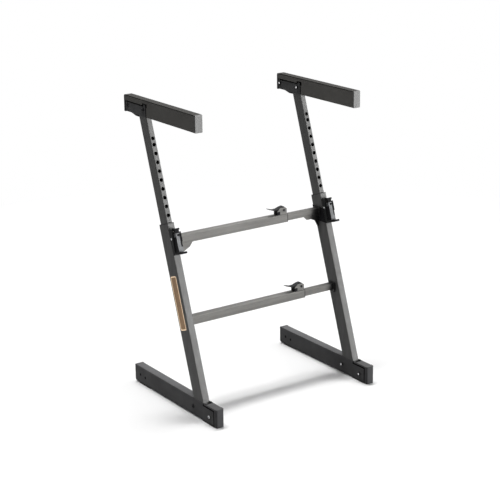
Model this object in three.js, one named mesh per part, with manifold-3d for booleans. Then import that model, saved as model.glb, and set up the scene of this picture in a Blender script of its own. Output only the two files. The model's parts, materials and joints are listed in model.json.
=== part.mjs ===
// A height- and width-adjustable Z stand for a keyboard, in millimetres.
// X runs across the stand, Y towards its rear, Z up, and Z = 0 is the floor.
// The origin lies on the floor, under the middle of the stand's box.
import * as THREE from 'three';
import { mergeVertices } from 'three/addons/utils/BufferGeometryUtils.js';
import Module from 'manifold-3d';

const wasm = await Module();
wasm.setup();

// Driving dimensions: the whole stand
const tilt = THREE.MathUtils.degToRad(18.8);
const frameSpacing = 564;
const postFootY = -157.1;
const fit = 0.3;
const overrun = 5;
const boltRadius = 4;
const boltHeadRadius = 6.5;
const boltHeadHeight = 3.6;
const boltNutHeight = 5;
const cornerSteps = 2;
const roundSteps = 14;
const camSteps = 18;
const holeSteps = 12;
const hexSides = 6;

// The foot: a tube on the floor, open on top where the post comes down into it
const foot = {
  width: 28, wall: 1.5, corner: 2.5, bottomZ: 3.4, topZ: 57.4, frontY: -223.4, rearY: 215,
  lipDrop: 7.1, boltFrontY: -199.9, boltFrontZ: 25, boltBehindPost: 19.9, boltRearZ: 29.7,
  screwRadius: 2.6, screwY: [192.5, 164], screwZ: [30.2, 27.8],
};
const footCap = {
  frontY: -237, corner: 6, wall: 2, roofRearY: -182, lipRearY: -168.3, lipWall: 1.5, shoeRearY: -163,
};
const footRearCap = { rearY: 224, corner: 7, plugDepth: 14, plugWall: 2 };
const footPad = { frontY: 136, rearY: 202, corner: 3 };
const footBracket = { wall: 2, floor: 2.5, frontY: -212, rearY: -98, topZ: 43, corner: 8 };

// The posts: the lower one is the outer tube, the upper one slides in it
const lowerPost = { width: 24, depth: 50, wall: 1.5, corner: 3, top: 588 };
const bushing = { depth: 40, rim: 2.2, guideGap: 0.3, sideWall: 0.9, frontWall: 2.9 };
const upperPost = {
  wall: 1.5, corner: 2.5, belowPin: 87.2,
  width: lowerPost.width - 2 * (lowerPost.wall + fit + bushing.sideWall + bushing.guideGap),
  depth: lowerPost.depth - 2 * (lowerPost.wall + fit + bushing.frontWall + bushing.guideGap),
};
const glide = { length: 16, plugDepth: 18, plugWall: 2 };
const indexHole = {
  radius: 4.5, pitch: 26.4, lowestBelowPin: 52.8, highestBelowTop: 124, stopScrewRise: 19, stopScrewRadius: 3,
};

// The arm: a steel channel in a cover, on the head of the upper post. Its
// reaches run from the post's axis at the arm's top, its drops from that top
const arm = {
  width: 24, topZ: 915.8, height: 51.3, frontReach: 309.66, rearReach: 82.34, corner: 2, coverWall: 1.2,
  channelWall: 1.2, postDrop: 18.38, boltFrontDrop: 17.5, boltFrontForward: 13, boltRearInset: 16,
  boltRearDrop: 29.8,
};
const armNotch = { frontReach: 44.66, drop: 16.8, humpDrop: 10.8, humpFrontReach: 48.66, humpLength: 25 };
const armCap = { frontDepth: 3.7, rearDepth: 6, rearCorner: 5.5, plugDepth: 15, plugWall: 1.6 };
const headBracket = {
  width: 18, wall: 2, floor: 2.5, bottomDrop: 56.1, bendInset: 61, rearBottomDrop: 42.8, drop: 17.8, rearInset: 9,
};

// The crossbars: square tubes that telescope, one pair high and one pair low
const bar = {
  size: 26, wall: 2.5, corner: 2.5, innerWall: 1.5, insertion: 395, behindAxis: 9,
  plateThickness: 4, plateForward: 9, plateRise: 5,
};
const upperBar = { z: 506.8, mouthX: 147 };
const lowerBar = { z: 277.3, mouthX: 155.5 };
const gusset = {
  thickness: 4, forward: 7, reach: 67, chamferIn: 10, chamferDrop: 14, postDrop: 46,
  archReach: 57, archFlatIn: 30, archDrop: 11, archPostDrop: 43,
};

// The cam clamp on each outer crossbar tube
const clamp = {
  fromMouth: 2, length: 36, sheet: 2, innerWidth: 15, earHeight: 21, earCorner: 7, earSlope: 12,
  pinFromMouth: 13, pinHeight: 13, pinRadius: 2.6, pinHead: 1.6, pinHeadRadius: 4,
  blockLength: 11, blockHeight: 11,
};
const cam = {
  radius: 8.5, throw: 1, width: 14, sheet: 3, hump: 12, shoulder: 6.5, neckX: 25, neckRise: 2.5, dipX: 36,
  dipRise: 0.5, tipX: 56, tipRise: 11,
};
const pad = { length: 13, width: 12, corner: 2 };

// The trigger latch on the front of each lower post. Its places are counted from the
// index pin up the post (rise, drop) and from the post's front face (forward, tipDepth)
const indexPin = {
  belowPostTop: 80.8, radius: 4, nose: 1, tipDepth: 11, endForward: 21.4, barForward: 19, barRadius: 2,
  barSlot: 5.6,
};
const housing = {
  drop: 14.2, topRise: 63.8, bottomForward: 9, topForward: 19, base: 1.7, wall: 3, floor: 3, corner: 2,
};
const trigger = {
  width: 17, sheet: 1.5, faceForward: 28.5, drop: 7.2, topRise: 48.8, flangeForward: 15, flangeKnee: 20,
  pivotRise: 34.8, pivotForward: 6.4, pivotRadius: 2.2, pivotBoss: 3.9, pivotHeadRadius: 3.4, pivotHead: 1,
  holeRise: 43.3, holeRadius: 3.6, edge: 3,
};
const grip = {
  hoodForward: 11, hood: 5, spine: 3.4, cheekFrom: 22.8, cheekTo: 52.8, cheekDepth: 4.5, cheekWidth: 2,
  tabOut: 15, tab: 4.8, tabBack: 7.5,
};
const spring = { rise: 50.8, radius: 4.2, wire: 0.65, turns: 6, stepsPerTurn: 7, sides: 5 };

// Materials, by what a piece is made of
const finishes = {
  blackSteel: { color: 0x2d2e2f, roughness: 0.5, metalness: 0.35 },
  greySteel: { color: 0x6f706e, roughness: 0.42, metalness: 0.4 },
  plastic: { color: 0x1b1b1c, roughness: 0.62, metalness: 0 },
  cover: { color: 0x333435, roughness: 0.7, metalness: 0 },
  capGrey: { color: 0x77787a, roughness: 0.65, metalness: 0 },
  rubber: { color: 0x161616, roughness: 0.85, metalness: 0 },
  zinc: { color: 0xb4b6b8, roughness: 0.32, metalness: 0.85 },
};

// Small helpers that turn three.js geometry into solids that can be joined and cut
function solid(geometry) {
  geometry.deleteAttribute('normal');
  geometry.deleteAttribute('uv');
  const merged = mergeVertices(geometry);
  return new wasm.Manifold(new wasm.Mesh({
    numProp: 3,
    vertProperties: new Float32Array(merged.attributes.position.array),
    triVerts: new Uint32Array(merged.index.array),
  }));
}

function mesh(name, body, finish) {
  const result = body.getMesh();
  const geometry = new THREE.BufferGeometry();
  geometry.setAttribute('position', new THREE.BufferAttribute(new Float32Array(result.vertProperties), 3));
  geometry.setIndex(new THREE.BufferAttribute(new Uint32Array(result.triVerts), 1));
  geometry.computeVertexNormals();
  const node = new THREE.Mesh(geometry, new THREE.MeshStandardMaterial(finishes[finish]));
  node.name = name;
  return node;
}

function polygon(points) {
  const shape = new THREE.Shape();
  points.forEach(([u, v], index) => (index ? shape.lineTo(u, v) : shape.moveTo(u, v)));
  shape.closePath();
  return shape;
}

// A rectangle with each corner rounded by its own radius, from the low corner round anticlockwise
function roundedRect(u0, v0, u1, v1, radii) {
  const [lowLeft, lowRight, highRight, highLeft] = Array.isArray(radii) ? radii : [radii, radii, radii, radii];
  const shape = new THREE.Shape();
  shape.moveTo(u0 + lowLeft, v0);
  shape.lineTo(u1 - lowRight, v0);
  if (lowRight) shape.absarc(u1 - lowRight, v0 + lowRight, lowRight, -Math.PI / 2, 0);
  shape.lineTo(u1, v1 - highRight);
  if (highRight) shape.absarc(u1 - highRight, v1 - highRight, highRight, 0, Math.PI / 2);
  shape.lineTo(u0 + highLeft, v1);
  if (highLeft) shape.absarc(u0 + highLeft, v1 - highLeft, highLeft, Math.PI / 2, Math.PI);
  shape.lineTo(u0, v0 + lowLeft);
  if (lowLeft) shape.absarc(u0 + lowLeft, v0 + lowLeft, lowLeft, Math.PI, Math.PI * 1.5);
  return shape;
}

function extrude(shape, length) {
  return new THREE.ExtrudeGeometry(shape, { depth: length, bevelEnabled: false, curveSegments: cornerSteps });
}

// Outlines in the plane (Y, Z), (X, Z) or (X, Y), made into slabs along the third axis
function slabX(shape, x0, x1) {
  const geometry = extrude(shape, x1 - x0);
  geometry.rotateX(Math.PI / 2);
  geometry.rotateZ(Math.PI / 2);
  return solid(geometry.translate(x0, 0, 0));
}

function slabY(shape, y0, y1) {
  return solid(extrude(shape, y1 - y0).rotateX(Math.PI / 2).translate(0, y1, 0));
}

function slabZ(shape, z0, z1) {
  return solid(extrude(shape, z1 - z0).translate(0, 0, z0));
}

function box(x0, x1, y0, y1, z0, z1) {
  const geometry = new THREE.BoxGeometry(x1 - x0, y1 - y0, z1 - z0);
  return solid(geometry.translate((x0 + x1) / 2, (y0 + y1) / 2, (z0 + z1) / 2));
}

function cylinder(radius, length, steps) {
  return new THREE.CylinderGeometry(radius, radius, length, steps);
}

function rodX(radius, x0, x1, y, z, steps = roundSteps) {
  return solid(cylinder(radius, x1 - x0, steps).rotateZ(Math.PI / 2).translate((x0 + x1) / 2, y, z));
}

function rodY(radius, y0, y1, x, z, steps = roundSteps) {
  return solid(cylinder(radius, y1 - y0, steps).translate(x, (y0 + y1) / 2, z));
}

const union = (first, ...others) => others.reduce((total, other) => total.add(other), first);
const cut = (first, ...others) => others.reduce((total, other) => total.subtract(other), first);

// Places on the sloping post, in the frame's own upright axes
const postTurn = new THREE.Matrix4().makeRotationX(-tilt).setPosition(0, postFootY, 0);
const toPost = postTurn.clone().invert();
const inPost = (body) => body.transform(toPost.elements);
const fromPost = (body) => body.transform(postTurn.elements);
const axisY = (z) => postFootY + z * Math.tan(tilt);
const postPoint = (rise, forward) => new THREE.Vector3(0, -forward, rise).applyMatrix4(postTurn);
const rearFaceY = (z, depth) => axisY(z) + depth / 2 / Math.cos(tilt);

const footHalf = foot.width / 2;
const footInnerHalf = footHalf - foot.wall;
const bracketFloorZ = foot.bottomZ + foot.wall + fit;
const postFootZ = bracketFloorZ + footBracket.floor + fit;
const postHalf = lowerPost.width / 2;
const postFront = lowerPost.depth / 2;
const armHalf = arm.width / 2;
const channelHalf = armHalf - arm.coverWall - fit;
const channelTopZ = arm.topZ - arm.coverWall - fit;
const channelBottomZ = arm.topZ - arm.height + arm.coverWall + fit;
const channelInnerHalf = channelHalf - arm.channelWall;
const frameX = frameSpacing / 2;
const pinRise = lowerPost.top - indexPin.belowPostTop;
const upperPostBottom = pinRise - upperPost.belowPin;
const upperPostTop = (arm.topZ - arm.postDrop) / Math.cos(tilt);
const lowestHole = pinRise - indexHole.lowestBelowPin;
const holeCount = 1 + Math.round((upperPostTop - indexHole.highestBelowTop - lowestHole) / indexHole.pitch);
const armBottomZ = arm.topZ - arm.height;
const armFrontY = axisY(arm.topZ) - arm.frontReach;
const armRearY = axisY(arm.topZ) + arm.rearReach;
const armCoreFrontY = armFrontY + armCap.frontDepth + fit;
const armCoreRearY = armRearY - armCap.rearDepth - fit;
const footBoltRearY = postFootY + postFront + foot.boltBehindPost;
const armBoltFront = postPoint(upperPostTop - arm.boltFrontDrop, arm.boltFrontForward);
const armBoltRear = { y: armRearY - arm.boltRearInset, z: arm.topZ - arm.boltRearDrop };
const bracketTopZ = arm.topZ - headBracket.drop;

// A cross bolt with its head on one side of what it holds and its nut on the other
function crossBolt(name, side, halfWidth, y, z) {
  const seat = halfWidth + fit;
  const headEnd = seat + boltHeadHeight;
  const nutEnd = seat + boltNutHeight;
  const shank = side < 0 ? rodX(boltRadius, -headEnd, nutEnd, y, z) : rodX(boltRadius, -nutEnd, headEnd, y, z);
  const outer = side < 0 ? [-headEnd, -seat] : [seat, headEnd];
  const inner = side < 0 ? [seat, nutEnd] : [-nutEnd, -seat];
  const head = rodX(boltHeadRadius, ...outer, y, z);
  const nut = rodX(boltHeadRadius, ...inner, y, z, hexSides);
  return mesh(name, union(shank, head, nut), 'zinc');
}

function boltHole(halfWidth, y, z) {
  return rodX(boltRadius + fit, -halfWidth - overrun, halfWidth + overrun, y, z);
}

function rectTube(halfWidth, z0, z1, y0, y1, wall, corner) {
  const outer = slabY(roundedRect(-halfWidth, z0, halfWidth, z1, corner), y0, y1);
  const innerCorner = Math.max(corner - wall, 0);
  const inner = roundedRect(-halfWidth + wall, z0 + wall, halfWidth - wall, z1 - wall, innerCorner);
  return cut(outer, slabY(inner, y0 - overrun, y1 + overrun));
}

// The sloping cut that clears the lower post, as an outline in (Y, Z)
function postSlot(fromY, z0, z1, gap) {
  return polygon([
    [fromY, z0],
    [rearFaceY(z0, lowerPost.depth) + gap, z0],
    [rearFaceY(z1, lowerPost.depth) + gap, z1],
    [fromY, z1],
  ]);
}

function footTube(side, name) {
  const lipZ = foot.topZ - foot.lipDrop;
  let body = rectTube(footHalf, foot.bottomZ, foot.topZ, foot.frontY, foot.rearY, foot.wall, foot.corner);
  const roofCut = slabX(postSlot(foot.frontY - overrun, lipZ, foot.topZ + overrun, fit * 2),
    -footInnerHalf, footInnerHalf);
  const lipCut = box(-footHalf - overrun, footHalf + overrun, foot.frontY - overrun, footCap.lipRearY + fit,
    lipZ, foot.topZ + overrun);
  body = cut(body, roofCut, lipCut,
    boltHole(footHalf, foot.boltFrontY, foot.boltFrontZ), boltHole(footHalf, footBoltRearY, foot.boltRearZ));
  foot.screwY.forEach((y, index) => {
    body = cut(body, rodX(foot.screwRadius, -footHalf - overrun, footHalf + overrun, y, foot.screwZ[index]));
  });
  return mesh(`${name}_foot_tube`, body, 'blackSteel');
}

function footFrontCap(name) {
  const blockRearY = foot.frontY - fit;
  const lipZ = foot.topZ - foot.lipDrop + fit;
  const block = cut(
    slabZ(roundedRect(-footHalf, footCap.frontY, footHalf, blockRearY, [footCap.corner, footCap.corner, 0, 0]),
      0, foot.topZ),
    box(-footHalf + footCap.wall, footHalf - footCap.wall, footCap.frontY + footCap.wall, blockRearY + overrun,
      foot.bottomZ, foot.topZ - footCap.wall),
  );
  const roofOutline = roundedRect(-footHalf, lipZ, footHalf, foot.topZ, [0, 0, foot.corner, foot.corner]);
  const roof = cut(
    slabY(roofOutline, blockRearY - footCap.wall, footCap.lipRearY),
    box(-footHalf + footCap.lipWall, footHalf - footCap.lipWall, blockRearY, footCap.lipRearY + overrun,
      lipZ - overrun, foot.topZ - footCap.wall),
    box(-footHalf + footCap.lipWall, footHalf - footCap.lipWall, footCap.roofRearY, footCap.lipRearY + overrun,
      lipZ, foot.topZ + overrun),
  );
  const shoe = box(-footHalf, footHalf, blockRearY - footCap.wall, footCap.shoeRearY, 0, foot.bottomZ - fit);
  return mesh(`${name}_foot_front_cap`, union(block, roof, shoe), 'plastic');
}

function footRearCapSolid(name) {
  const faceY = foot.rearY + fit;
  const face = slabX(
    roundedRect(faceY, foot.bottomZ, footRearCap.rearY, foot.topZ, [0, footRearCap.corner, foot.corner, 0]),
    -footHalf, footHalf);
  const plugHalf = footInnerHalf - fit;
  const z0 = foot.bottomZ + foot.wall + fit;
  const z1 = foot.topZ - foot.wall - fit;
  const plug = cut(
    box(-plugHalf, plugHalf, faceY - footRearCap.plugDepth, faceY + fit, z0, z1),
    box(-plugHalf + footRearCap.plugWall, plugHalf - footRearCap.plugWall,
      faceY - footRearCap.plugDepth - overrun, faceY, z0 + footRearCap.plugWall, z1 - footRearCap.plugWall),
  );
  return mesh(`${name}_foot_rear_cap`, union(face, plug), 'plastic');
}

function footRearPad(name) {
  const outline = roundedRect(-footHalf, footPad.frontY, footHalf, footPad.rearY, footPad.corner);
  return mesh(`${name}_foot_rear_pad`, slabZ(outline, 0, foot.bottomZ - fit), 'rubber');
}

function footBracketSolid(name) {
  const half = footInnerHalf - fit;
  const outline = roundedRect(footBracket.frontY, bracketFloorZ, footBracket.rearY, footBracket.topZ,
    [0, 0, footBracket.corner, footBracket.corner]);
  const floorTop = bracketFloorZ + footBracket.floor;
  const trough = box(-half + footBracket.wall, half - footBracket.wall, footBracket.frontY - overrun,
    footBracket.rearY + overrun, floorTop, footBracket.topZ + overrun);
  const above = box(-half - overrun, half + overrun, footBracket.frontY, footBracket.rearY, floorTop,
    footBracket.topZ + overrun);
  const post = fromPost(box(-half - overrun, half + overrun, -postFront - fit, postFront + fit, 0, lowerPost.top));
  const body = cut(slabX(outline, -half, half), trough, post.intersect(above),
    boltHole(half, foot.boltFrontY, foot.boltFrontZ), boltHole(half, footBoltRearY, foot.boltRearZ));
  return mesh(`${name}_foot_bracket`, body, 'blackSteel');
}

// The posts are drawn upright along Z, and their group leans them back
function postTube(post, bottom, top) {
  const outer = roundedRect(-post.width / 2, -post.depth / 2, post.width / 2, post.depth / 2, post.corner);
  const innerX = post.width / 2 - post.wall;
  const innerY = post.depth / 2 - post.wall;
  const inner = roundedRect(-innerX, -innerY, innerX, innerY, post.corner - post.wall);
  return cut(slabZ(outer, bottom, top), slabZ(inner, bottom - overrun, top + overrun));
}

function frontHole(post, radius, rise) {
  const front = post.depth / 2;
  return rodY(radius, -front - overrun, -front + post.wall + overrun, 0, rise, holeSteps);
}

function lowerPostSolid(name) {
  const underFloor = inPost(box(-lowerPost.width, lowerPost.width, postFootY - lowerPost.top,
    postFootY + lowerPost.top, -lowerPost.top, postFootZ));
  const body = cut(postTube(lowerPost, -lowerPost.depth, lowerPost.top), underFloor,
    frontHole(lowerPost, indexPin.radius + fit, pinRise));
  return mesh(`${name}_lower_post`, body, 'greySteel');
}

function postBushing(name) {
  const outerX = postHalf - lowerPost.wall - fit;
  const outerY = postFront - lowerPost.wall - fit;
  const innerX = upperPost.width / 2 + bushing.guideGap;
  const innerY = upperPost.depth / 2 + bushing.guideGap;
  const rimBottom = lowerPost.top + fit;
  const rimTop = rimBottom + bushing.rim;
  const sleeve = slabZ(roundedRect(-outerX, -outerY, outerX, outerY, lowerPost.wall),
    lowerPost.top - bushing.depth, rimTop);
  const rim = slabZ(roundedRect(-postHalf, -postFront, postHalf, postFront, lowerPost.corner), rimBottom, rimTop);
  const bore = slabZ(roundedRect(-innerX, -innerY, innerX, innerY, upperPost.corner),
    lowerPost.top - bushing.depth - overrun, rimTop + overrun);
  return mesh(`${name}_post_bushing`, cut(union(sleeve, rim), bore), 'plastic');
}

function upperPostSolid(name) {
  let body = postTube(upperPost, upperPostBottom, upperPostTop);
  for (let index = 0; index < holeCount; index += 1) {
    body = cut(body, frontHole(upperPost, indexHole.radius, lowestHole + index * indexHole.pitch));
  }
  const lastRise = lowestHole + (holeCount - 1) * indexHole.pitch;
  body = cut(body, frontHole(upperPost, indexHole.stopScrewRadius, lastRise + indexHole.stopScrewRise),
    inPost(boltHole(upperPost.width / 2, armBoltFront.y, armBoltFront.z)));
  return mesh(`${name}_upper_post`, body, 'greySteel');
}

function upperPostGlide(name) {
  const faceX = postHalf - lowerPost.wall - fit;
  const faceY = postFront - lowerPost.wall - fit;
  const faceTop = upperPostBottom - fit;
  const plugX = upperPost.width / 2 - upperPost.wall - fit;
  const plugY = upperPost.depth / 2 - upperPost.wall - fit;
  const face = slabZ(roundedRect(-faceX, -faceY, faceX, faceY, lowerPost.wall), faceTop - glide.length, faceTop);
  const plug = slabZ(roundedRect(-plugX, -plugY, plugX, plugY, glide.plugWall / 2), faceTop - fit,
    faceTop + glide.plugDepth);
  const hollow = box(-plugX + glide.plugWall, plugX - glide.plugWall, -plugY + glide.plugWall,
    plugY - glide.plugWall, faceTop - glide.length - overrun, faceTop + glide.plugDepth + overrun);
  return mesh(`${name}_upper_post_glide`, cut(union(face, plug), hollow), 'plastic');
}

// The arm's pieces, in the frame's upright axes
function armChannel(name) {
  const outer = slabY(roundedRect(-channelHalf, channelBottomZ, channelHalf, channelTopZ,
    [0, 0, arm.channelWall, arm.channelWall]), armCoreFrontY, armCoreRearY);
  const inner = box(-channelInnerHalf, channelInnerHalf, armCoreFrontY - overrun, armCoreRearY + overrun,
    channelBottomZ - overrun, channelTopZ - arm.channelWall);
  const body = cut(outer, inner, boltHole(channelHalf, armBoltFront.y, armBoltFront.z),
    boltHole(channelHalf, armBoltRear.y, armBoltRear.z));
  return mesh(`${name}_arm_channel`, body, 'blackSteel');
}

function armCover(name) {
  const sleeve = rectTube(armHalf, armBottomZ, arm.topZ, armCoreFrontY, armCoreRearY, arm.coverWall, arm.corner);
  const notchTopZ = arm.topZ - armNotch.drop;
  const notch = box(-armHalf - overrun, armHalf + overrun, axisY(arm.topZ) - armNotch.frontReach,
    armCoreRearY + overrun, armBottomZ - overrun, notchTopZ);
  const humpFrontY = axisY(arm.topZ) - armNotch.humpFrontReach;
  const hump = slabX(roundedRect(humpFrontY, notchTopZ - overrun, humpFrontY + armNotch.humpLength,
    arm.topZ - armNotch.humpDrop, [0, 0, arm.corner, arm.corner]), -armHalf - overrun, armHalf + overrun);
  return mesh(`${name}_arm_cover`, cut(sleeve, notch, hump), 'cover');
}

function armPlug(y0, y1, bottom) {
  const half = channelInnerHalf - fit;
  const top = channelTopZ - arm.channelWall - fit;
  return cut(box(-half, half, y0, y1, bottom, top),
    box(-half + armCap.plugWall, half - armCap.plugWall, y0 - overrun, y1 + overrun,
      bottom + armCap.plugWall, top - armCap.plugWall));
}

function armFrontCap(name) {
  const faceRearY = armFrontY + armCap.frontDepth;
  const face = slabY(roundedRect(-armHalf, armBottomZ, armHalf, arm.topZ, arm.corner), armFrontY, faceRearY);
  const plug = armPlug(faceRearY - fit, faceRearY + armCap.plugDepth, channelBottomZ);
  return mesh(`${name}_arm_front_cap`, union(face, plug), 'capGrey');
}

function armRearCap(name) {
  const faceY = armRearY - armCap.rearDepth;
  const outline = roundedRect(faceY, armBottomZ, armRearY, arm.topZ, [0, arm.corner, armCap.rearCorner, 0]);
  const face = slabX(outline, -armHalf, armHalf);
  const plug = armPlug(faceY - armCap.plugDepth, faceY + fit, bracketTopZ + fit);
  return mesh(`${name}_arm_rear_cap`, union(face, plug), 'plastic');
}

function headBracketSolid(name) {
  const half = headBracket.width / 2;
  const gap = fit / Math.cos(tilt);
  const bottomZ = arm.topZ - headBracket.bottomDrop;
  const rearBottomZ = arm.topZ - headBracket.rearBottomDrop;
  const bendY = armRearY - headBracket.bendInset;
  const rearY = armRearY - headBracket.rearInset;
  const outline = polygon([
    [rearFaceY(bottomZ, upperPost.depth) + gap, bottomZ],
    [bendY, bottomZ],
    [rearY, rearBottomZ],
    [rearY, bracketTopZ],
    [rearFaceY(bracketTopZ, upperPost.depth) + gap, bracketTopZ],
  ]);
  const frontY = rearFaceY(bottomZ, upperPost.depth) - overrun;
  const trough = slabX(polygon([
    [frontY, bottomZ + headBracket.floor],
    [bendY, bottomZ + headBracket.floor],
    [rearY + overrun, rearBottomZ + headBracket.floor],
    [rearY + overrun, bracketTopZ + overrun],
    [frontY, bracketTopZ + overrun],
  ]), -half + headBracket.wall, half - headBracket.wall);
  const body = cut(slabX(outline, -half, half), trough, boltHole(half, armBoltRear.y, armBoltRear.z));
  return mesh(`${name}_head_bracket`, body, 'blackSteel');
}

// The trigger latch: Y = 0 is the post's front face, forward is -Y, and Z = 0 is the index pin
const ahead = (forward, rise) => [-forward, rise];

function triggerHousing(name) {
  const floorTop = housing.floor - housing.drop;
  const outline = polygon([ahead(fit, -housing.drop), ahead(housing.bottomForward, -housing.drop),
    ahead(housing.topForward, housing.topRise), ahead(fit, housing.topRise)].reverse());
  const inner = postHalf - housing.wall;
  const cavity = box(-inner, inner, -trigger.faceForward - overrun, -fit - housing.base, floorTop,
    housing.topRise + overrun);
  const pivotHole = rodX(trigger.pivotRadius + fit, -postHalf - overrun, postHalf + overrun,
    -trigger.pivotForward, trigger.pivotRise);
  const pinHole = rodY(indexPin.radius + fit, -housing.base - overrun, overrun, 0, 0);
  return mesh(`${name}_trigger_housing`, cut(slabX(outline, -postHalf, postHalf), cavity, pivotHole, pinHole),
    'plastic');
}

function triggerLever(name) {
  const half = trigger.width / 2;
  const shape = new THREE.Shape();
  shape.moveTo(-trigger.faceForward, -trigger.drop);
  shape.lineTo(-trigger.flangeForward - trigger.edge, -trigger.drop);
  shape.lineTo(-trigger.flangeForward, trigger.edge - trigger.drop);
  shape.lineTo(-trigger.flangeForward, trigger.flangeKnee - trigger.drop);
  shape.absarc(-trigger.pivotForward, trigger.pivotRise, trigger.pivotBoss, -Math.PI / 4, Math.PI / 2);
  shape.lineTo(-trigger.flangeForward, trigger.topRise);
  shape.lineTo(-trigger.faceForward, trigger.topRise);
  shape.closePath();
  const inside = half - trigger.sheet;
  const channel = box(-inside, inside, -trigger.faceForward + trigger.sheet, 0,
    -trigger.drop - overrun, trigger.topRise + overrun);
  const pivotHole = rodX(trigger.pivotRadius + fit, -half - overrun, half + overrun,
    -trigger.pivotForward, trigger.pivotRise);
  const slotHalf = indexPin.barRadius + fit;
  const barSlot = slabX(roundedRect(-indexPin.barForward - slotHalf, -indexPin.barSlot,
    -indexPin.barForward + slotHalf + fit * 2, slotHalf, slotHalf), -half - overrun, half + overrun);
  const faceHole = rodY(trigger.holeRadius, -trigger.faceForward - overrun, -trigger.faceForward + overrun, 0,
    trigger.holeRise);
  return mesh(`${name}_trigger_lever`, cut(slabX(shape, -half, half), channel, pivotHole, barSlot, faceHole),
    'zinc');
}

function triggerGrip(name) {
  const inside = trigger.width / 2 - trigger.sheet - fit;
  const half = trigger.width / 2;
  const spineFront = trigger.faceForward - trigger.sheet - fit;
  const spineBack = spineFront - grip.spine;
  const tabTop = -trigger.drop - fit;
  const hoodTop = housing.topRise;
  const spine = box(-inside, inside, -spineFront, -spineBack, tabTop - grip.tab, hoodTop);
  const hood = slabX(roundedRect(-trigger.faceForward, hoodTop - grip.hood, -grip.hoodForward, hoodTop,
    [0, 0, housing.corner, housing.corner]), -half, half);
  const neck = box(-inside, half + fit + grip.cheekWidth, -spineFront, -spineBack, trigger.topRise + fit,
    grip.cheekTo);
  const cheek = slabX(roundedRect(-trigger.faceForward - fit * 2, grip.cheekFrom,
    -trigger.faceForward + grip.cheekDepth, grip.cheekTo, [grip.cheekWidth / 2, 0, 0, grip.cheekWidth / 2]),
    half + fit, half + fit + grip.cheekWidth);
  const tab = slabX(roundedRect(-trigger.faceForward - grip.tabOut, tabTop - grip.tab,
    -trigger.faceForward + grip.tabBack, tabTop, [grip.tab / 2 - fit, 0, 0, grip.tab / 2 - fit]), -half, half);
  return mesh(`${name}_trigger_grip`, union(spine, hood, neck, cheek, tab), 'plastic');
}

function triggerPivot(name) {
  const seat = postHalf + fit;
  const end = seat + trigger.pivotHead;
  const place = [-trigger.pivotForward, trigger.pivotRise];
  const body = union(rodX(trigger.pivotRadius, -end, end, ...place),
    rodX(trigger.pivotHeadRadius, -end, -seat, ...place), rodX(trigger.pivotHeadRadius, seat, end, ...place));
  return mesh(`${name}_trigger_pivot`, body, 'zinc');
}

function indexPinSolid(name) {
  const profile = [
    new THREE.Vector2(0, -indexPin.tipDepth),
    new THREE.Vector2(indexPin.radius - indexPin.nose, -indexPin.tipDepth),
    new THREE.Vector2(indexPin.radius, indexPin.nose - indexPin.tipDepth),
    new THREE.Vector2(indexPin.radius, indexPin.endForward),
    new THREE.Vector2(0, indexPin.endForward),
  ];
  const shaft = solid(new THREE.LatheGeometry(profile, roundSteps).rotateX(Math.PI));
  const barHalf = trigger.width / 2 + fit / 2;
  const crossBar = rodX(indexPin.barRadius, -barHalf, barHalf, -indexPin.barForward, 0);
  return mesh(`${name}_index_pin`, union(shaft, crossBar), 'zinc');
}

// One unbroken coil between the housing's base and the grip's spine, which returns the lever
class Helix extends THREE.Curve {
  constructor(radius, start, end, turns) {
    super();
    Object.assign(this, { radius, start, end, turns });
  }

  getPoint(share, target = new THREE.Vector3()) {
    const angle = share * this.turns * 2 * Math.PI;
    const along = this.start + (this.end - this.start) * share;
    return target.set(this.radius * Math.cos(angle), -along, this.radius * Math.sin(angle));
  }
}

function triggerSpring(name) {
  const start = fit + housing.base + fit + spring.wire;
  const end = trigger.faceForward - trigger.sheet - fit - grip.spine - fit - spring.wire;
  const path = new Helix(spring.radius, start, end, spring.turns);
  const section = new THREE.Shape();
  section.absarc(0, 0, spring.wire, 0, Math.PI * 2);
  const outline = new THREE.Shape(section.getSpacedPoints(spring.sides).slice(0, -1));
  const geometry = new THREE.ExtrudeGeometry(outline, {
    steps: spring.turns * spring.stepsPerTurn, extrudePath: path, bevelEnabled: false,
  });
  return mesh(`${name}_trigger_spring`, solid(geometry).translate(0, 0, spring.rise), 'zinc');
}

// A crossbar's tubes, in the stand's own axes
const barY = (place) => axisY(place.z) + bar.behindAxis;
const leftEndX = -frameX + postHalf + fit;
const rightEndX = frameX - postHalf - fit;
const innerBarHalf = bar.size / 2 - bar.wall - fit;

function squareTube(half, wall, corner, x0, x1, y, z) {
  const outer = slabX(roundedRect(y - half, z - half, y + half, z + half, corner), x0, x1);
  const hole = half - wall;
  const inner = roundedRect(y - hole, z - hole, y + hole, z + hole, Math.max(corner - wall, 0));
  return cut(outer, slabX(inner, x0 - overrun, x1 + overrun));
}

function gussetPlate(shape, place) {
  const y = barY(place) - gusset.forward;
  return slabY(shape, y - gusset.thickness / 2, y + gusset.thickness / 2);
}

function crossbarOuter(place) {
  const y = barY(place);
  const half = bar.size / 2;
  let body = squareTube(half, bar.wall, bar.corner, leftEndX, place.mouthX, y, place.z);
  const padX = place.mouthX - clamp.pinFromMouth;
  const padHole = box(padX - pad.length / 2 - fit, padX + pad.length / 2 + fit, y - pad.width / 2 - fit,
    y + pad.width / 2 + fit, place.z, place.z + half + overrun);
  body = cut(body, padHole);
  if (place.gussets) {
    const top = place.z - half + bar.wall / 2;
    const under = place.z - half;
    const slopeStart = gusset.reach - gusset.chamferIn;
    body = union(body, gussetPlate(polygon([
      [leftEndX, top],
      [leftEndX, under - gusset.postDrop],
      [leftEndX + slopeStart, under - gusset.chamferDrop],
      [leftEndX + gusset.reach, under],
      [leftEndX + gusset.reach, top],
    ]), place));
  }
  return mesh(`${place.name}_crossbar_outer`, body, 'greySteel');
}

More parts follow.
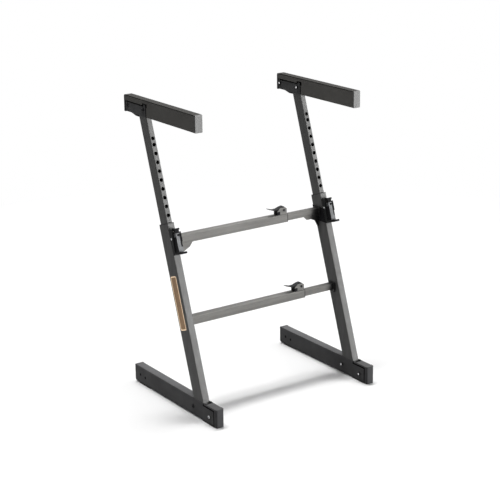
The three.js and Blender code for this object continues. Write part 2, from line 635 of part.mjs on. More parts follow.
function crossbarInner(place) {
  const y = barY(place);
  const x0 = place.mouthX - bar.insertion;
  let body = squareTube(innerBarHalf, bar.innerWall, bar.corner, x0, rightEndX, y, place.z);
  const plateOutline = roundedRect(y - innerBarHalf - bar.plateForward, place.z - innerBarHalf - bar.plateRise,
    y + innerBarHalf, place.z + innerBarHalf + bar.plateRise, bar.corner);
  const plate = slabX(plateOutline, rightEndX - bar.plateThickness, rightEndX);
  const bore = box(x0, rightEndX + overrun, y - innerBarHalf + bar.innerWall, y + innerBarHalf - bar.innerWall,
    place.z - innerBarHalf + bar.innerWall, place.z + innerBarHalf - bar.innerWall);
  body = union(body, cut(plate, bore));
  if (place.gussets) {
    const under = place.z - innerBarHalf;
    const top = under + bar.innerWall / 2;
    const shape = new THREE.Shape();
    shape.moveTo(rightEndX, top);
    shape.lineTo(rightEndX - gusset.archReach, top);
    shape.lineTo(rightEndX - gusset.archReach, under);
    shape.lineTo(rightEndX - gusset.archReach + gusset.archDrop, under - gusset.archDrop);
    shape.lineTo(rightEndX - gusset.archFlatIn, under - gusset.archDrop);
    shape.quadraticCurveTo(rightEndX - gusset.archDrop, under - gusset.archDrop, rightEndX,
      under - gusset.archPostDrop);
    shape.closePath();
    body = union(body, gussetPlate(shape, place));
  }
  return mesh(`${place.name}_crossbar_inner`, body, 'greySteel');
}

// The clamp's folded bracket: a floor on the tube and two ears that carry the pin
function clampBracket(place) {
  const y = barY(place);
  const floorZ = place.z + bar.size / 2 + fit;
  const rightX = place.mouthX - clamp.fromMouth;
  const leftX = rightX - clamp.length;
  const pinX = place.mouthX - clamp.pinFromMouth;
  const outerHalf = clamp.innerWidth / 2 + clamp.sheet;
  const ear = new THREE.Shape();
  ear.moveTo(leftX, floorZ);
  ear.lineTo(rightX, floorZ);
  ear.lineTo(rightX, floorZ + clamp.pinHeight);
  ear.absarc(rightX - clamp.earCorner, floorZ + clamp.earHeight - clamp.earCorner, clamp.earCorner, 0, Math.PI / 2);
  ear.lineTo(leftX + clamp.earSlope, floorZ + clamp.earHeight);
  ear.lineTo(leftX, floorZ + clamp.blockHeight);
  ear.closePath();
  const trough = box(leftX - overrun, rightX + overrun, y - clamp.innerWidth / 2, y + clamp.innerWidth / 2,
    floorZ + clamp.sheet, floorZ + clamp.earHeight + overrun);
  const padHole = box(pinX - pad.length / 2 - fit, pinX + pad.length / 2 + fit, y - pad.width / 2 - fit,
    y + pad.width / 2 + fit, floorZ - overrun, floorZ + clamp.sheet + overrun);
  const pinHole = rodY(clamp.pinRadius + fit, y - outerHalf - overrun, y + outerHalf + overrun, pinX,
    floorZ + clamp.pinHeight);
  const block = box(leftX, leftX + clamp.blockLength, y - clamp.innerWidth / 2 - fit,
    y + clamp.innerWidth / 2 + fit, floorZ + clamp.sheet - fit, floorZ + clamp.blockHeight);
  const folded = cut(slabY(ear, y - outerHalf, y + outerHalf), trough, padHole, pinHole);
  return mesh(`${place.name}_clamp_bracket`, union(folded, block), 'greySteel');
}

// The lever and its eccentric: a round cam whose centre lies below the pin
function camLever(place) {
  const y = barY(place);
  const pinX = place.mouthX - clamp.pinFromMouth;
  const pinZ = place.z + bar.size / 2 + fit + clamp.pinHeight;
  const half = cam.width / 2;
  const eccentric = rodY(cam.radius, y - half, y + half, pinX, pinZ - cam.throw, camSteps);
  const arc = new THREE.Shape();
  arc.moveTo(pinX, pinZ + cam.hump);
  arc.quadraticCurveTo(pinX - cam.radius, pinZ + cam.hump, pinX - cam.neckX, pinZ + cam.neckRise + cam.sheet);
  arc.quadraticCurveTo(pinX - cam.dipX, pinZ + cam.dipRise + cam.sheet, pinX - cam.tipX, pinZ + cam.tipRise);
  arc.lineTo(pinX - cam.tipX, pinZ + cam.tipRise - cam.sheet / 2);
  arc.quadraticCurveTo(pinX - cam.dipX, pinZ + cam.dipRise, pinX - cam.neckX, pinZ + cam.neckRise);
  arc.lineTo(pinX - cam.radius, pinZ + cam.throw);
  arc.lineTo(pinX, pinZ - cam.throw);
  arc.lineTo(pinX + cam.radius - cam.throw, pinZ);
  arc.quadraticCurveTo(pinX + cam.shoulder, pinZ + cam.hump, pinX, pinZ + cam.hump);
  arc.closePath();
  const hole = rodY(clamp.pinRadius + fit, y - half - overrun, y + half + overrun, pinX, pinZ);
  return mesh(`${place.name}_cam_lever`, cut(union(slabY(arc, y - half, y + half), eccentric), hole), 'greySteel');
}

function camPin(place) {
  const y = barY(place);
  const seat = clamp.innerWidth / 2 + clamp.sheet + fit;
  const end = seat + clamp.pinHead;
  const at = [place.mouthX - clamp.pinFromMouth, place.z + bar.size / 2 + fit + clamp.pinHeight];
  const body = union(rodY(clamp.pinRadius, y - end, y + end, ...at),
    rodY(clamp.pinHeadRadius, y - end, y - seat, ...at), rodY(clamp.pinHeadRadius, y + seat, y + end, ...at));
  return mesh(`${place.name}_cam_pin`, body, 'zinc');
}

function clampPad(place) {
  const y = barY(place);
  const x = place.mouthX - clamp.pinFromMouth;
  const pinZ = place.z + bar.size / 2 + fit + clamp.pinHeight;
  const outline = roundedRect(x - pad.length / 2, y - pad.width / 2, x + pad.length / 2, y + pad.width / 2,
    pad.corner);
  const top = pinZ - cam.throw - cam.radius - fit;
  return mesh(`${place.name}_clamp_pad`, slabZ(outline, place.z + innerBarHalf + fit, top), 'rubber');
}

function sideFrame(name, side) {
  const frame = new THREE.Group();
  frame.position.x = side * frameX;
  frame.add(
    footTube(side, name), footFrontCap(name), footRearCapSolid(name), footRearPad(name), footBracketSolid(name),
    crossBolt(`${name}_foot_bolt_front`, side, footHalf, foot.boltFrontY, foot.boltFrontZ),
    crossBolt(`${name}_foot_bolt_rear`, side, footHalf, footBoltRearY, foot.boltRearZ),
    armChannel(name), armCover(name), armFrontCap(name), armRearCap(name), headBracketSolid(name),
    crossBolt(`${name}_arm_bolt_front`, side, channelHalf, armBoltFront.y, armBoltFront.z),
    crossBolt(`${name}_arm_bolt_rear`, side, channelHalf, armBoltRear.y, armBoltRear.z),
  );
  const posts = new THREE.Group();
  posts.position.y = postFootY;
  posts.rotation.x = -tilt;
  const latch = new THREE.Group();
  latch.position.set(0, -postFront, pinRise);
  latch.add(
    triggerHousing(name), triggerLever(name), triggerGrip(name), triggerPivot(name), indexPinSolid(name),
    triggerSpring(name),
  );
  posts.add(lowerPostSolid(name), postBushing(name), upperPostSolid(name), upperPostGlide(name), latch);
  frame.add(posts);
  return frame;
}

const stand = new THREE.Group();
stand.add(sideFrame('left', -1), sideFrame('right', 1));
const barPlaces = [{ name: 'upper', gussets: true, ...upperBar }, { name: 'lower', gussets: false, ...lowerBar }];
for (const place of barPlaces) {
  stand.add(crossbarOuter(place), crossbarInner(place), clampBracket(place), camLever(place), camPin(place),
    clampPad(place));
}

export default stand;
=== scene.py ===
"""The looks of a Z-shaped keyboard stand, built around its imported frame. Lengths are in metres."""

import json
import logging
import math
from abc import ABC, abstractmethod
from dataclasses import dataclass, field, replace
from enum import Enum
from typing import Callable, ClassVar, Dict, Iterable, List, Mapping, Optional, Sequence, Tuple

import bmesh
import bpy
from mathutils import Matrix, Vector

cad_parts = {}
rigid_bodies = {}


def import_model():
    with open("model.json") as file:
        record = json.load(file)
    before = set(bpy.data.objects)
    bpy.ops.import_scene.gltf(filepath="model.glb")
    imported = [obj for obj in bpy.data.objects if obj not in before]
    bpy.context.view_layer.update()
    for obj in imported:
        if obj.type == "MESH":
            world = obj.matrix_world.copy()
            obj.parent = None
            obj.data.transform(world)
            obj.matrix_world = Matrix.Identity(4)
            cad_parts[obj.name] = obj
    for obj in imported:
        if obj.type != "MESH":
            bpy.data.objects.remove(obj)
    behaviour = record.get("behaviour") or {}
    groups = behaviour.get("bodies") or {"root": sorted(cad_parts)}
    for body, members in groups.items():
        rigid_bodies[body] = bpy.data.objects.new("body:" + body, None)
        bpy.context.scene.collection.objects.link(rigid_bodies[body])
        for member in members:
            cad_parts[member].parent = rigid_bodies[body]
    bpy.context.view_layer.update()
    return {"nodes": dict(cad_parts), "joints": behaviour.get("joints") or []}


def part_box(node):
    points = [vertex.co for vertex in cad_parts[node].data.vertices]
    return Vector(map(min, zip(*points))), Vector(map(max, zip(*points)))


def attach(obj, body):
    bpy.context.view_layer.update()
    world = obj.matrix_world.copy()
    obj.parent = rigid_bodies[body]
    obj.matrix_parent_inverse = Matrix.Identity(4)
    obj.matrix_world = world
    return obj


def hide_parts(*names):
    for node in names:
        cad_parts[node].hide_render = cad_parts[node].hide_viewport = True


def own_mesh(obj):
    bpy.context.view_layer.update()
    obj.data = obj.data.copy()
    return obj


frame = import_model()

LOG = logging.getLogger("stand")
MM = 0.001
POST_FOOT_Y = -157.1 * MM
EDGE_WIDTH = 0.35 * MM
EDGE_STEPS = 2
SAME_POINT = 0.001 * MM
JOINED_CORNERS = 0.002 * MM
SHARP_ANGLE = math.radians(38)
ROUNDED_ANGLE = math.radians(42)
MITRE_LIMIT = 0.5
X_WAY = Vector((1, 0, 0))
Y_WAY = Vector((0, 1, 0))
Z_WAY = Vector((0, 0, 1))

Colour = Tuple[float, float, float]
Point2 = Tuple[float, float]
Names = Tuple[str, ...]
Pieces = List[bpy.types.Object]
Socket = bpy.types.NodeSocket
Mesh = bmesh.types.BMesh


class Side(Enum):
    """The two side frames, with the sign of X on which each one stands."""

    LEFT = -1
    RIGHT = 1

    @property
    def label(self) -> str:
        """The side's word in node and body names."""
        return self.name.lower()

    @property
    def middle_x(self) -> float:
        """The side frame's middle plane."""
        low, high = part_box(f"{self.label}_lower_post")
        return (low.x + high.x) / 2

    @property
    def frame_body(self) -> str:
        """The body of the foot and the lower post."""
        return f"{self.label}_frame"

    @property
    def mast_body(self) -> str:
        """The body of the upper post and the arm."""
        return f"{self.label}_mast"


class Level(Enum):
    """The two crossbars, high and low."""

    UPPER = "upper"
    LOWER = "lower"


@dataclass(frozen=True)
class NodeGraph:
    """A short way to write a node tree, which it fills."""

    EDGE_SAMPLES: ClassVar[int] = 4

    tree: bpy.types.NodeTree

    def add(self, kind: str, links: Optional[Mapping[str, object]] = None,
            **settings: object) -> bpy.types.Node:
        """Adds a node.

        Args:
            kind: Blender's type name of the node.
            links: Input name or number to a socket that is linked, or a plain value that is set.
            settings: Attributes of the node itself.

        Returns:
            The new node.
        """
        node = self.tree.nodes.new(kind)
        for name, value in settings.items():
            setattr(node, name, value)
        for name, value in (links or {}).items():
            socket = node.inputs[int(name)] if name.isdigit() else node.inputs[name]
            if isinstance(value, bpy.types.NodeSocket):
                self.tree.links.new(value, socket)
            else:
                socket.default_value = value
        return node

    def arithmetic(self, operation: str, first: object, second: object) -> Socket:
        """The result of one arithmetic step on two sockets or numbers."""
        step = self.add("ShaderNodeMath", {"0": first, "1": second}, operation=operation)
        return step.outputs["Value"]

    def component(self, vector: Socket, axis: str) -> Socket:
        """One of the three parts of a vector."""
        return self.add("ShaderNodeSeparateXYZ", {"Vector": vector}).outputs[axis]

    def own_place(self) -> Socket:
        """The point's place in the piece's own coordinates."""
        return self.add("ShaderNodeTexCoord").outputs["Object"]

    def noise(self, scale: float, detail: float = 4.0,
              stretch: Sequence[float] = (1, 1, 1)) -> Socket:
        """A noise value on the piece's own coordinates.

        Args:
            scale: Features per metre.
            detail: Octaves of finer noise.
            stretch: Scale of the coordinates along X, Y and Z.

        Returns:
            The noise factor's socket.
        """
        mapping = self.add("ShaderNodeMapping", {"Vector": self.own_place(), "Scale": stretch})
        noise = self.add("ShaderNodeTexNoise", {"Vector": mapping.outputs["Vector"],
                                                "Scale": scale, "Detail": detail})
        return noise.outputs["Fac"]

    def spread(self, value: Socket, low: float, high: float, start: float = 0.3,
               stop: float = 0.7) -> Socket:
        """Maps a factor onto a range.

        Args:
            value: The factor.
            low: Result at start.
            high: Result at stop.
            start: Factor at which the range begins.
            stop: Factor at which the range ends.

        Returns:
            The mapped value's socket.
        """
        node = self.add("ShaderNodeMapRange", {"Value": value, "From Min": start, "From Max": stop,
                                               "To Min": low, "To Max": high})
        return node.outputs["Result"]

    def mix(self, factor: object, first: object, second: object, blend: str = "MIX") -> Socket:
        """Mixes two colours.

        Args:
            factor: Share of the second colour, a socket or a number.
            first: First colour, a socket or four numbers.
            second: Second colour, a socket or four numbers.
            blend: Blender's blend mode.

        Returns:
            The mixed colour's socket.
        """
        node = self.add("ShaderNodeMix", {"0": factor, "6": first, "7": second},
                        data_type="RGBA", blend_type=blend)
        return node.outputs[2]

    def edge_mask(self, radius: float, low: float = 0.02, high: float = 0.2) -> Socket:
        """A mask that is 1 on the piece's edges, from how far rounding would turn the normal.

        Args:
            radius: Reach of the edge, in metres.
            low: Turn at which the mask begins.
            high: Turn at which the mask is full.

        Returns:
            The mask's socket.
        """
        rounded = self.add("ShaderNodeBevel", {"Radius": radius}, samples=self.EDGE_SAMPLES)
        flat = self.add("ShaderNodeNewGeometry")
        dot = self.add("ShaderNodeVectorMath",
                       {"0": rounded.outputs["Normal"], "1": flat.outputs["Normal"]},
                       operation="DOT_PRODUCT")
        return self.spread(dot.outputs["Value"], 1.0, 0.0, 1 - high, 1 - low)

    def seen(self) -> Socket:
        """A factor that is 1 for camera, glossy and transmission rays and 0 for the rest.

        Returns:
            The factor's socket.
        """
        rays = self.add("ShaderNodeLightPath").outputs
        mirrored = self.arithmetic("MAXIMUM", rays["Is Camera Ray"], rays["Is Glossy Ray"])
        return self.arithmetic("MAXIMUM", mirrored, rays["Is Transmission Ray"])


def grey(value: float) -> Colour:
    """A colour with three equal parts."""
    return (value, value, value)


def rgba(colour: Colour, gain: float = 1.0) -> Tuple[float, float, float, float]:
    """A colour with alpha 1, brightened or darkened by a gain."""
    return (colour[0] * gain, colour[1] * gain, colour[2] * gain, 1.0)


@dataclass(frozen=True)
class Finish:
    """A surface: its base colour with slow and fine variation, its gloss and grain, and its edges,
    which a light edge colour wears lighter and a dark one darkens as painted edge shade.

    Hollows take painted shade from an occlusion node; faces that look up take a dust colour, which
    is real dust when light and painted top shade when dark; and a finish with a painted shadow band
    turns black along X across that band.
    """

    TONE_DETAIL: ClassVar[float] = 3.0
    GRAIN_DETAIL: ClassVar[float] = 2.0
    GRAIN_SHARE: ClassVar[float] = 0.35
    GRAIN_GAIN: ClassVar[float] = 1.6
    GLOSS_DETAIL: ClassVar[float] = 5.0
    GLOSS_FINENESS: ClassVar[float] = 3.0
    # Scale of the patches over edge wear and painted edge shade.
    WEAR_SCALE: ClassVar[float] = 120.0
    # Slope at which faces start to take dust and painted top shade.
    DUST_SLOPE: ClassVar[float] = 0.5
    # Samples, darkest tone and occlusion range of the painted shade in hollows.
    HOLLOW_SAMPLES: ClassVar[int] = 6
    HOLLOW_TONE: ClassVar[float] = 0.02
    HOLLOW_OPEN: ClassVar[Point2] = (0.2, 0.5)
    # Darkest tone of the painted shadow band.
    BLACK_TONE: ClassVar[float] = 0.08

    name: str
    colour: Colour
    roughness: float = 0.5
    roughness_spread: float = 0.08
    metallic: float = 0.0
    specular: float = 0.5
    tone_spread: float = 0.12
    tone_scale: float = 14.0
    grain_scale: float = 900.0
    grain_depth: float = 0.12
    grain_distance: float = 0.15 * MM
    stretch: Tuple[float, float, float] = (1.0, 1.0, 1.0)
    # Edge colour, share and reach: a light colour wears edges lighter, a near-black one paints shade
    # along edges and seams.
    wear_colour: Colour = grey(0.3)
    wear: float = 0.25
    wear_radius: float = 0.7 * MM
    # Share and colour on faces that look up: a light colour is real dust, a near-black one paints
    # the top darker as painted shade.
    dust: float = 0.0
    dust_colour: Colour = (0.4, 0.39, 0.37)
    # Reach of the painted shade in hollows.
    hollow_reach: float = 20 * MM
    # Band along X over which a painted shadow turns the colour black.
    black_from: float = 0.0
    black_to: float = 0.0

    def material(self) -> bpy.types.Material:
        """Builds the finish's node material once.

        Returns:
            The material.
        """
        made = bpy.data.materials.get(self.name)
        if made is None:
            made = bpy.data.materials.new(self.name)
            made.use_nodes = True
            self.fill(NodeGraph(made.node_tree), made.node_tree.nodes["Principled BSDF"])
        return made

    def fill(self, graph: NodeGraph, surface: bpy.types.Node) -> None:
        """Fills the surface shader's inputs.

        Args:
            graph: The material's node graph.
            surface: The Principled shader.
        """
        fine = graph.noise(self.grain_scale, self.GRAIN_DETAIL, self.stretch)
        patches = graph.noise(self.tone_scale * self.GLOSS_FINENESS, self.GLOSS_DETAIL,
                              self.stretch)
        rough = graph.spread(patches, self.roughness - self.roughness_spread,
                             self.roughness + self.roughness_spread)
        bump = graph.add("ShaderNodeBump", {"Strength": self.grain_depth, "Height": fine,
                                            "Distance": self.grain_distance})
        links = graph.tree.links
        links.new(self.painted(graph, fine), surface.inputs["Base Color"])
        links.new(rough, surface.inputs["Roughness"])
        links.new(bump.outputs["Normal"], surface.inputs["Normal"])
        surface.inputs["Metallic"].default_value = self.metallic
        surface.inputs["Specular IOR Level"].default_value = self.specular

    def painted(self, graph: NodeGraph, fine: Socket) -> Socket:
        """Lays the tone, the grain, the edge wear and painted edge shade, the dust and painted top
        shade, the painted shade of hollows and the painted shadow band over each other.

        Args:
            graph: The material's node graph.
            fine: The grain's factor.

        Returns:
            The finished colour's socket.
        """
        slow = graph.noise(self.tone_scale, self.TONE_DETAIL, self.stretch)
        tone = graph.mix(graph.spread(slow, 0.0, 1.0), rgba(self.colour, 1 - self.tone_spread),
                         rgba(self.colour, 1 + self.tone_spread))
        colour = graph.mix(graph.spread(fine, 0.0, self.GRAIN_SHARE), tone,
                           rgba(self.colour, self.GRAIN_GAIN))
        # Edge mask over patches: light edge colours are wear, near-black ones painted shade along
        # edges and seams.
        patches = graph.spread(graph.noise(self.WEAR_SCALE), 0.0, self.wear)
        worn_and_edge_shaded = graph.arithmetic("MULTIPLY", graph.edge_mask(self.wear_radius), patches)
        colour = graph.mix(worn_and_edge_shaded, colour, rgba(self.wear_colour))
        # Faces that look up: a light colour is dust, a near-black one a painted top shade.
        if self.dust:
            normal = graph.add("ShaderNodeNewGeometry").outputs["Normal"]
            up = graph.spread(graph.component(normal, "Z"), 0.0, self.dust, self.DUST_SLOPE, 1.0)
            colour = graph.mix(up, colour, rgba(self.dust_colour))
        # Painted shade: an occlusion node darkens hollows, corners and recesses in every finish.
        painted_hollow_shade = graph.add("ShaderNodeAmbientOcclusion", {"Distance": self.hollow_reach},
                           samples=self.HOLLOW_SAMPLES)
        shade = graph.spread(painted_hollow_shade.outputs["AO"], self.HOLLOW_TONE, 1.0, *self.HOLLOW_OPEN)
        colour = graph.mix(1.0, colour, shade, "MULTIPLY")
        # Painted shadow: the colour turns black along X across the band.
        if self.black_to:
            shade = graph.spread(graph.component(graph.own_place(), "X"), 1.0, self.BLACK_TONE,
                                 self.black_from, self.black_to)
            colour = graph.mix(1.0, colour, shade, "MULTIPLY")
        return colour


CHARCOAL = Finish("charcoal_powder_coat", (0.130, 0.130, 0.128), roughness=0.46, specular=0.17,
                  tone_spread=0.16, tone_scale=70.0, stretch=(1.0, 1.0, 0.12), grain_scale=1500.0,
                  grain_depth=0.22, wear_colour=(0.24, 0.24, 0.23), wear=0.5)
WARM_GREY = Finish("warm_grey_powder_coat", (0.145, 0.142, 0.134), specular=0.25, tone_spread=0.2,
                   tone_scale=110.0, stretch=(0.08, 1.0, 1.0), grain_scale=1500.0, grain_depth=0.18,
                   wear_colour=(0.32, 0.32, 0.3), wear=0.5)
# The inner bar's colour turns black towards the right post as a painted shadow of the post.
INNER_BAR = replace(WARM_GREY, name="inner_bar_coat", colour=(0.136, 0.133, 0.126), specular=0.22,
                    wear_colour=(0.30, 0.30, 0.28), black_from=0.236, black_to=0.262)
# Its near-black edge colour paints shade along the foot's edges and seams.
FOOT_BLACK = Finish("foot_powder_coat", (0.087, 0.087, 0.089), roughness=0.6, specular=0.16,
                    grain_scale=1500.0, grain_depth=0.25, wear_colour=grey(0.012), wear=0.95,
                    wear_radius=1.2 * MM)
# Its near-black edge colour paints shade along the cover's edges, and its near-black dust colour
# paints the top darker as painted shade.
ARM_COVER = Finish("arm_cover_coat", (0.240, 0.234, 0.223), roughness=0.85, specular=0.04,
                   grain_scale=1100.0, grain_depth=0.35, wear_colour=grey(0.008), wear=0.95,
                   wear_radius=2 * MM, dust=0.74, dust_colour=grey(0.004))
# Near-black finish of the painted shade line along the arm cover's upper edges.
COVER_EDGE_SHADE = Finish("cover_edge_seam", grey(0.013), roughness=0.8, specular=0.08, grain_depth=0.3,
                    wear_colour=grey(0.04), wear=0.3)
ARM_CAP = Finish("arm_end_cap", (0.170, 0.170, 0.168), roughness=0.62, specular=0.3,
                 tone_spread=0.08, grain_scale=1300.0, grain_depth=0.2,
                 wear_colour=(0.42, 0.42, 0.41), wear=0.5)
BLACK_PLASTIC = Finish("black_moulding", (0.007, 0.007, 0.008), roughness=0.72, specular=0.1,
                       grain_scale=1800.0, grain_depth=0.3, wear_colour=grey(0.05), wear=0.5)
HOUSING = Finish("latch_housing", (0.017, 0.018, 0.018), roughness=0.66, specular=0.14,
                 grain_scale=1800.0, grain_depth=0.3, wear_colour=grey(0.07), wear=0.5)
BUSHING = Finish("post_bushing_moulding", (0.075, 0.075, 0.074), roughness=0.6, specular=0.2,
                 grain_scale=1600.0, grain_depth=0.25, wear_colour=grey(0.12), wear=0.3)
# Its near-black edge colour paints shade along the cap's edges and seam borders; its light dust is
# real dust.
FOOT_PLASTIC = Finish("foot_cap_moulding", (0.036, 0.036, 0.038), roughness=0.58, specular=0.25,
                      grain_scale=1600.0, grain_depth=0.4, wear_colour=grey(0.012), wear=0.8,
                      wear_radius=1 * MM, dust=0.05)
RUBBER = Finish("rubber", grey(0.010), roughness=0.85, specular=0.2, grain_scale=700.0,
                grain_depth=0.5, wear_colour=grey(0.04), wear=0.4)
SHADOW_GAP = Finish("shadow_gap", grey(0.003), roughness=0.95, specular=0.03, tone_spread=0.3,
                    grain_scale=500.0, grain_depth=0.3, wear_colour=grey(0.01), wear=0.2)
ZINC = Finish("zinc_plate", (0.42, 0.425, 0.435), roughness=0.4, metallic=0.85, tone_spread=0.15,
              tone_scale=60.0, grain_scale=500.0, stretch=(1.0, 0.2, 4.0), wear_colour=grey(0.7),
              wear=0.4)
BOLT_TIP = Finish("bright_zinc", (0.66, 0.66, 0.67), roughness=0.32, metallic=0.95, tone_spread=0.1,
                  tone_scale=80.0, grain_scale=700.0, wear_colour=grey(0.8), wear=0.4)
LEVER_METAL = Finish("pressed_lever", (0.098, 0.101, 0.105), roughness=0.55, metallic=0.15,
                     specular=0.3, tone_spread=0.3, tone_scale=60.0, grain_scale=420.0,
                     grain_depth=0.25, stretch=(3.0, 1.0, 0.15), wear_colour=(0.34, 0.34, 0.36),
                     wear=0.6)
SPRING_STEEL = Finish("spring_steel", (0.34, 0.33, 0.31), roughness=0.3, metallic=0.95)
DARK_FASTENER = Finish("black_oxide", (0.012, 0.012, 0.013), roughness=0.55, metallic=0.1,
                       specular=0.2, wear_colour=grey(0.2), wear=0.5)
WELD = Finish("painted_weld", (0.085, 0.085, 0.083), roughness=0.42, specular=0.4,
              grain_scale=300.0, grain_depth=0.5, wear_colour=grey(0.2), wear=0.2)
PLATE_BORDER = Finish("plate_border", (0.80, 0.60, 0.40), roughness=0.36, metallic=0.85,
                      tone_spread=0.06, grain_depth=0.05, wear_colour=(0.3, 0.22, 0.14), wear=0.3)
PLATE_FIELD = Finish("plate_field", (0.235, 0.140, 0.070), roughness=0.42, metallic=0.6,
                     specular=0.3, tone_spread=0.2, tone_scale=40.0, grain_depth=0.08,
                     wear_colour=(0.6, 0.42, 0.25), wear=0.4)
CAM_BLACK = Finish("cam_lever_coat", (0.022, 0.022, 0.023), roughness=0.6, specular=0.1,
                   grain_scale=1500.0, grain_depth=0.2, wear_colour=grey(0.26), wear=0.7)

NODE_FINISHES: Dict[str, Finish] = {
    "foot_tube": FOOT_BLACK, "foot_bracket": FOOT_BLACK, "foot_front_cap": FOOT_PLASTIC,
    "foot_rear_cap": FOOT_PLASTIC, "foot_rear_pad": RUBBER, "lower_post": CHARCOAL,
    "upper_post": CHARCOAL, "post_bushing": BUSHING, "upper_post_glide": BLACK_PLASTIC,
    "head_bracket": FOOT_BLACK, "arm_channel": FOOT_BLACK, "arm_cover": ARM_COVER,
    "arm_front_cap": ARM_CAP, "arm_rear_cap": FOOT_PLASTIC, "trigger_housing": HOUSING,
    "trigger_lever": LEVER_METAL, "trigger_grip": BLACK_PLASTIC, "index_pin": ZINC,
    "crossbar_outer": WARM_GREY, "crossbar_inner": INNER_BAR, "clamp_bracket": WARM_GREY,
    "cam_lever": CAM_BLACK, "clamp_pad": RUBBER, "cam_pin": DARK_FASTENER,
}
WIDER_EDGES: Dict[str, float] = {
    "trigger_housing": 0.5 * MM, "trigger_lever": 0.5 * MM, "trigger_grip": 0.5 * MM,
}


def edge_rounding_group() -> bpy.types.NodeTree:
    """A geometry group that joins split corners and marks edges sharper than an angle.

    Returns:
        The node group.
    """
    name = "joined_and_smooth"
    known = bpy.data.node_groups.get(name)
    if known:
        return known
    tree = bpy.data.node_groups.new(name, "GeometryNodeTree")
    for way in ("INPUT", "OUTPUT"):
        tree.interface.new_socket("Geometry", in_out=way, socket_type="NodeSocketGeometry")
    graph = NodeGraph(tree)
    start = graph.add("NodeGroupInput")
    merged = graph.add("GeometryNodeMergeByDistance",
                       {"Geometry": start.outputs[0], "Distance": JOINED_CORNERS})
    smooth = graph.add("GeometryNodeSetShadeSmooth",
                       {"Geometry": merged.outputs[0], "Shade Smooth": True})
    angle = graph.add("GeometryNodeInputMeshEdgeAngle")
    sharp = graph.add("FunctionNodeCompare",
                      {"A": angle.outputs["Unsigned Angle"], "B": SHARP_ANGLE},
                      operation="GREATER_THAN")
    marked = graph.add("GeometryNodeSetShadeSmooth",
                       {"Geometry": smooth.outputs[0], "Selection": sharp.outputs[0],
                        "Shade Smooth": False}, domain="EDGE")
    graph.add("NodeGroupOutput", {"Geometry": marked.outputs[0]})
    return tree


def soften(piece: bpy.types.Object, width: float = EDGE_WIDTH) -> bpy.types.Object:
    """Rounds a piece's hard edges with modifiers.

    Args:
        piece: The mesh object.
        width: Width of the rounded edge.

    Returns:
        The same object.
    """
    joined = piece.modifiers.new("joined", "NODES")
    joined.node_group = edge_rounding_group()
    bevel = piece.modifiers.new("edges", "BEVEL")
    bevel.width = width
    bevel.segments = EDGE_STEPS
    bevel.limit_method = "ANGLE"
    bevel.angle_limit = ROUNDED_ANGLE
    bevel.harden_normals = True
    bevel.miter_outer = "MITER_ARC"
    normals = piece.modifiers.new("normals", "WEIGHTED_NORMAL")
    normals.keep_sharp = True
    return piece


def smooth_all(piece: bpy.types.Object) -> bpy.types.Object:
    """Shades every face of a piece smooth, and gives the piece back."""
    piece.data.polygons.foreach_set("use_smooth", [True] * len(piece.data.polygons))
    return piece


def paint(piece: bpy.types.Object, finish: Finish) -> bpy.types.Object:
    """Gives a piece one finish on all its material slots.

    Args:
        piece: The object.
        finish: The finish.

    Returns:
        The same object.
    """
    made = finish.material()
    for place in piece.material_slots:
        place.material = made
    if not piece.material_slots:
        piece.data.materials.append(made)
    return piece


def bare_object(name: str, shape: Mesh) -> bpy.types.Object:
    """Turns a bmesh into an object without a material.

    Args:
        name: The object's name.
        shape: The bmesh, which is freed.

    Returns:
        The object.
    """
    bmesh.ops.remove_doubles(shape, verts=shape.verts, dist=SAME_POINT)
    bmesh.ops.recalc_face_normals(shape, faces=shape.faces)
    data = bpy.data.meshes.new(name)
    shape.to_mesh(data)
    shape.free()
    piece = bpy.data.objects.new(name, data)
    bpy.context.scene.collection.objects.link(piece)
    return piece


def object_from(name: str, shape: Mesh, finish: Finish) -> bpy.types.Object:
    """Turns a bmesh, which is freed, into a painted piece."""
    return paint(bare_object(name, shape), finish)


def fit(piece: bpy.types.Object, body: str, node: str = "") -> bpy.types.Object:
    """Says which body a piece rides on and which node it stands in for.

    Args:
        piece: The piece.
        body: The body that it rides on.
        node: The CAD node that it replaces, if it replaces one.

    Returns:
        The same piece.
    """
    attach(piece, body)
    if node:
        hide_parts(node)
    return piece


def body_of(node: str) -> str:
    """The name of the body that a CAD node rides on."""
    return frame["nodes"][node].parent.name.split(":", 1)[1]


def side_faces(node: str) -> Tuple[Tuple[str, int, float], ...]:
    """A node's two faces across X: the word for each, the sign of its normal and its place."""
    low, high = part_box(node)
    return ("in", -1, low.x), ("out", 1, high.x)


@dataclass(frozen=True)
class Axes:
    """A place with three axes: across, out and along.

    Meshes are drawn with X across, Y out and Z along, and moved there.
    """

    origin: Vector
    across: Vector
    out: Vector
    along: Vector

    def matrix(self) -> Matrix:
        """The matrix that takes drawn points to the object's frame.

        Returns:
            The matrix.
        """
        columns = (self.across, self.out, self.along)
        turn = Matrix([[column[row] for column in columns] for row in range(3)]).to_4x4()
        return Matrix.Translation(self.origin) @ turn


def facing(place: Vector, sign: int) -> Matrix:
    """The matrix that takes a mesh to a place and turns its Z axis along X, by the sign."""
    out = X_WAY * sign
    return Axes(place, Z_WAY.cross(out), Z_WAY, out).matrix()


def lathe(profile: Sequence[Point2], steps: int) -> Mesh:
    """Turns an outline round the Z axis.

    Args:
        profile: Points of radius and height, from one end on the axis to the other.
        steps: Facets round the axis.

    Returns:
        The closed mesh.
    """
    shape = bmesh.new()
    corners = [shape.verts.new((radius, 0, height)) for radius, height in profile]
    edges = [shape.edges.new(pair) for pair in zip(corners, corners[1:])]
    bmesh.ops.spin(shape, geom=corners + edges, axis=Z_WAY, cent=(0, 0, 0), dvec=(0, 0, 0),
                   angle=2 * math.pi, steps=steps, use_merge=True)
    return shape


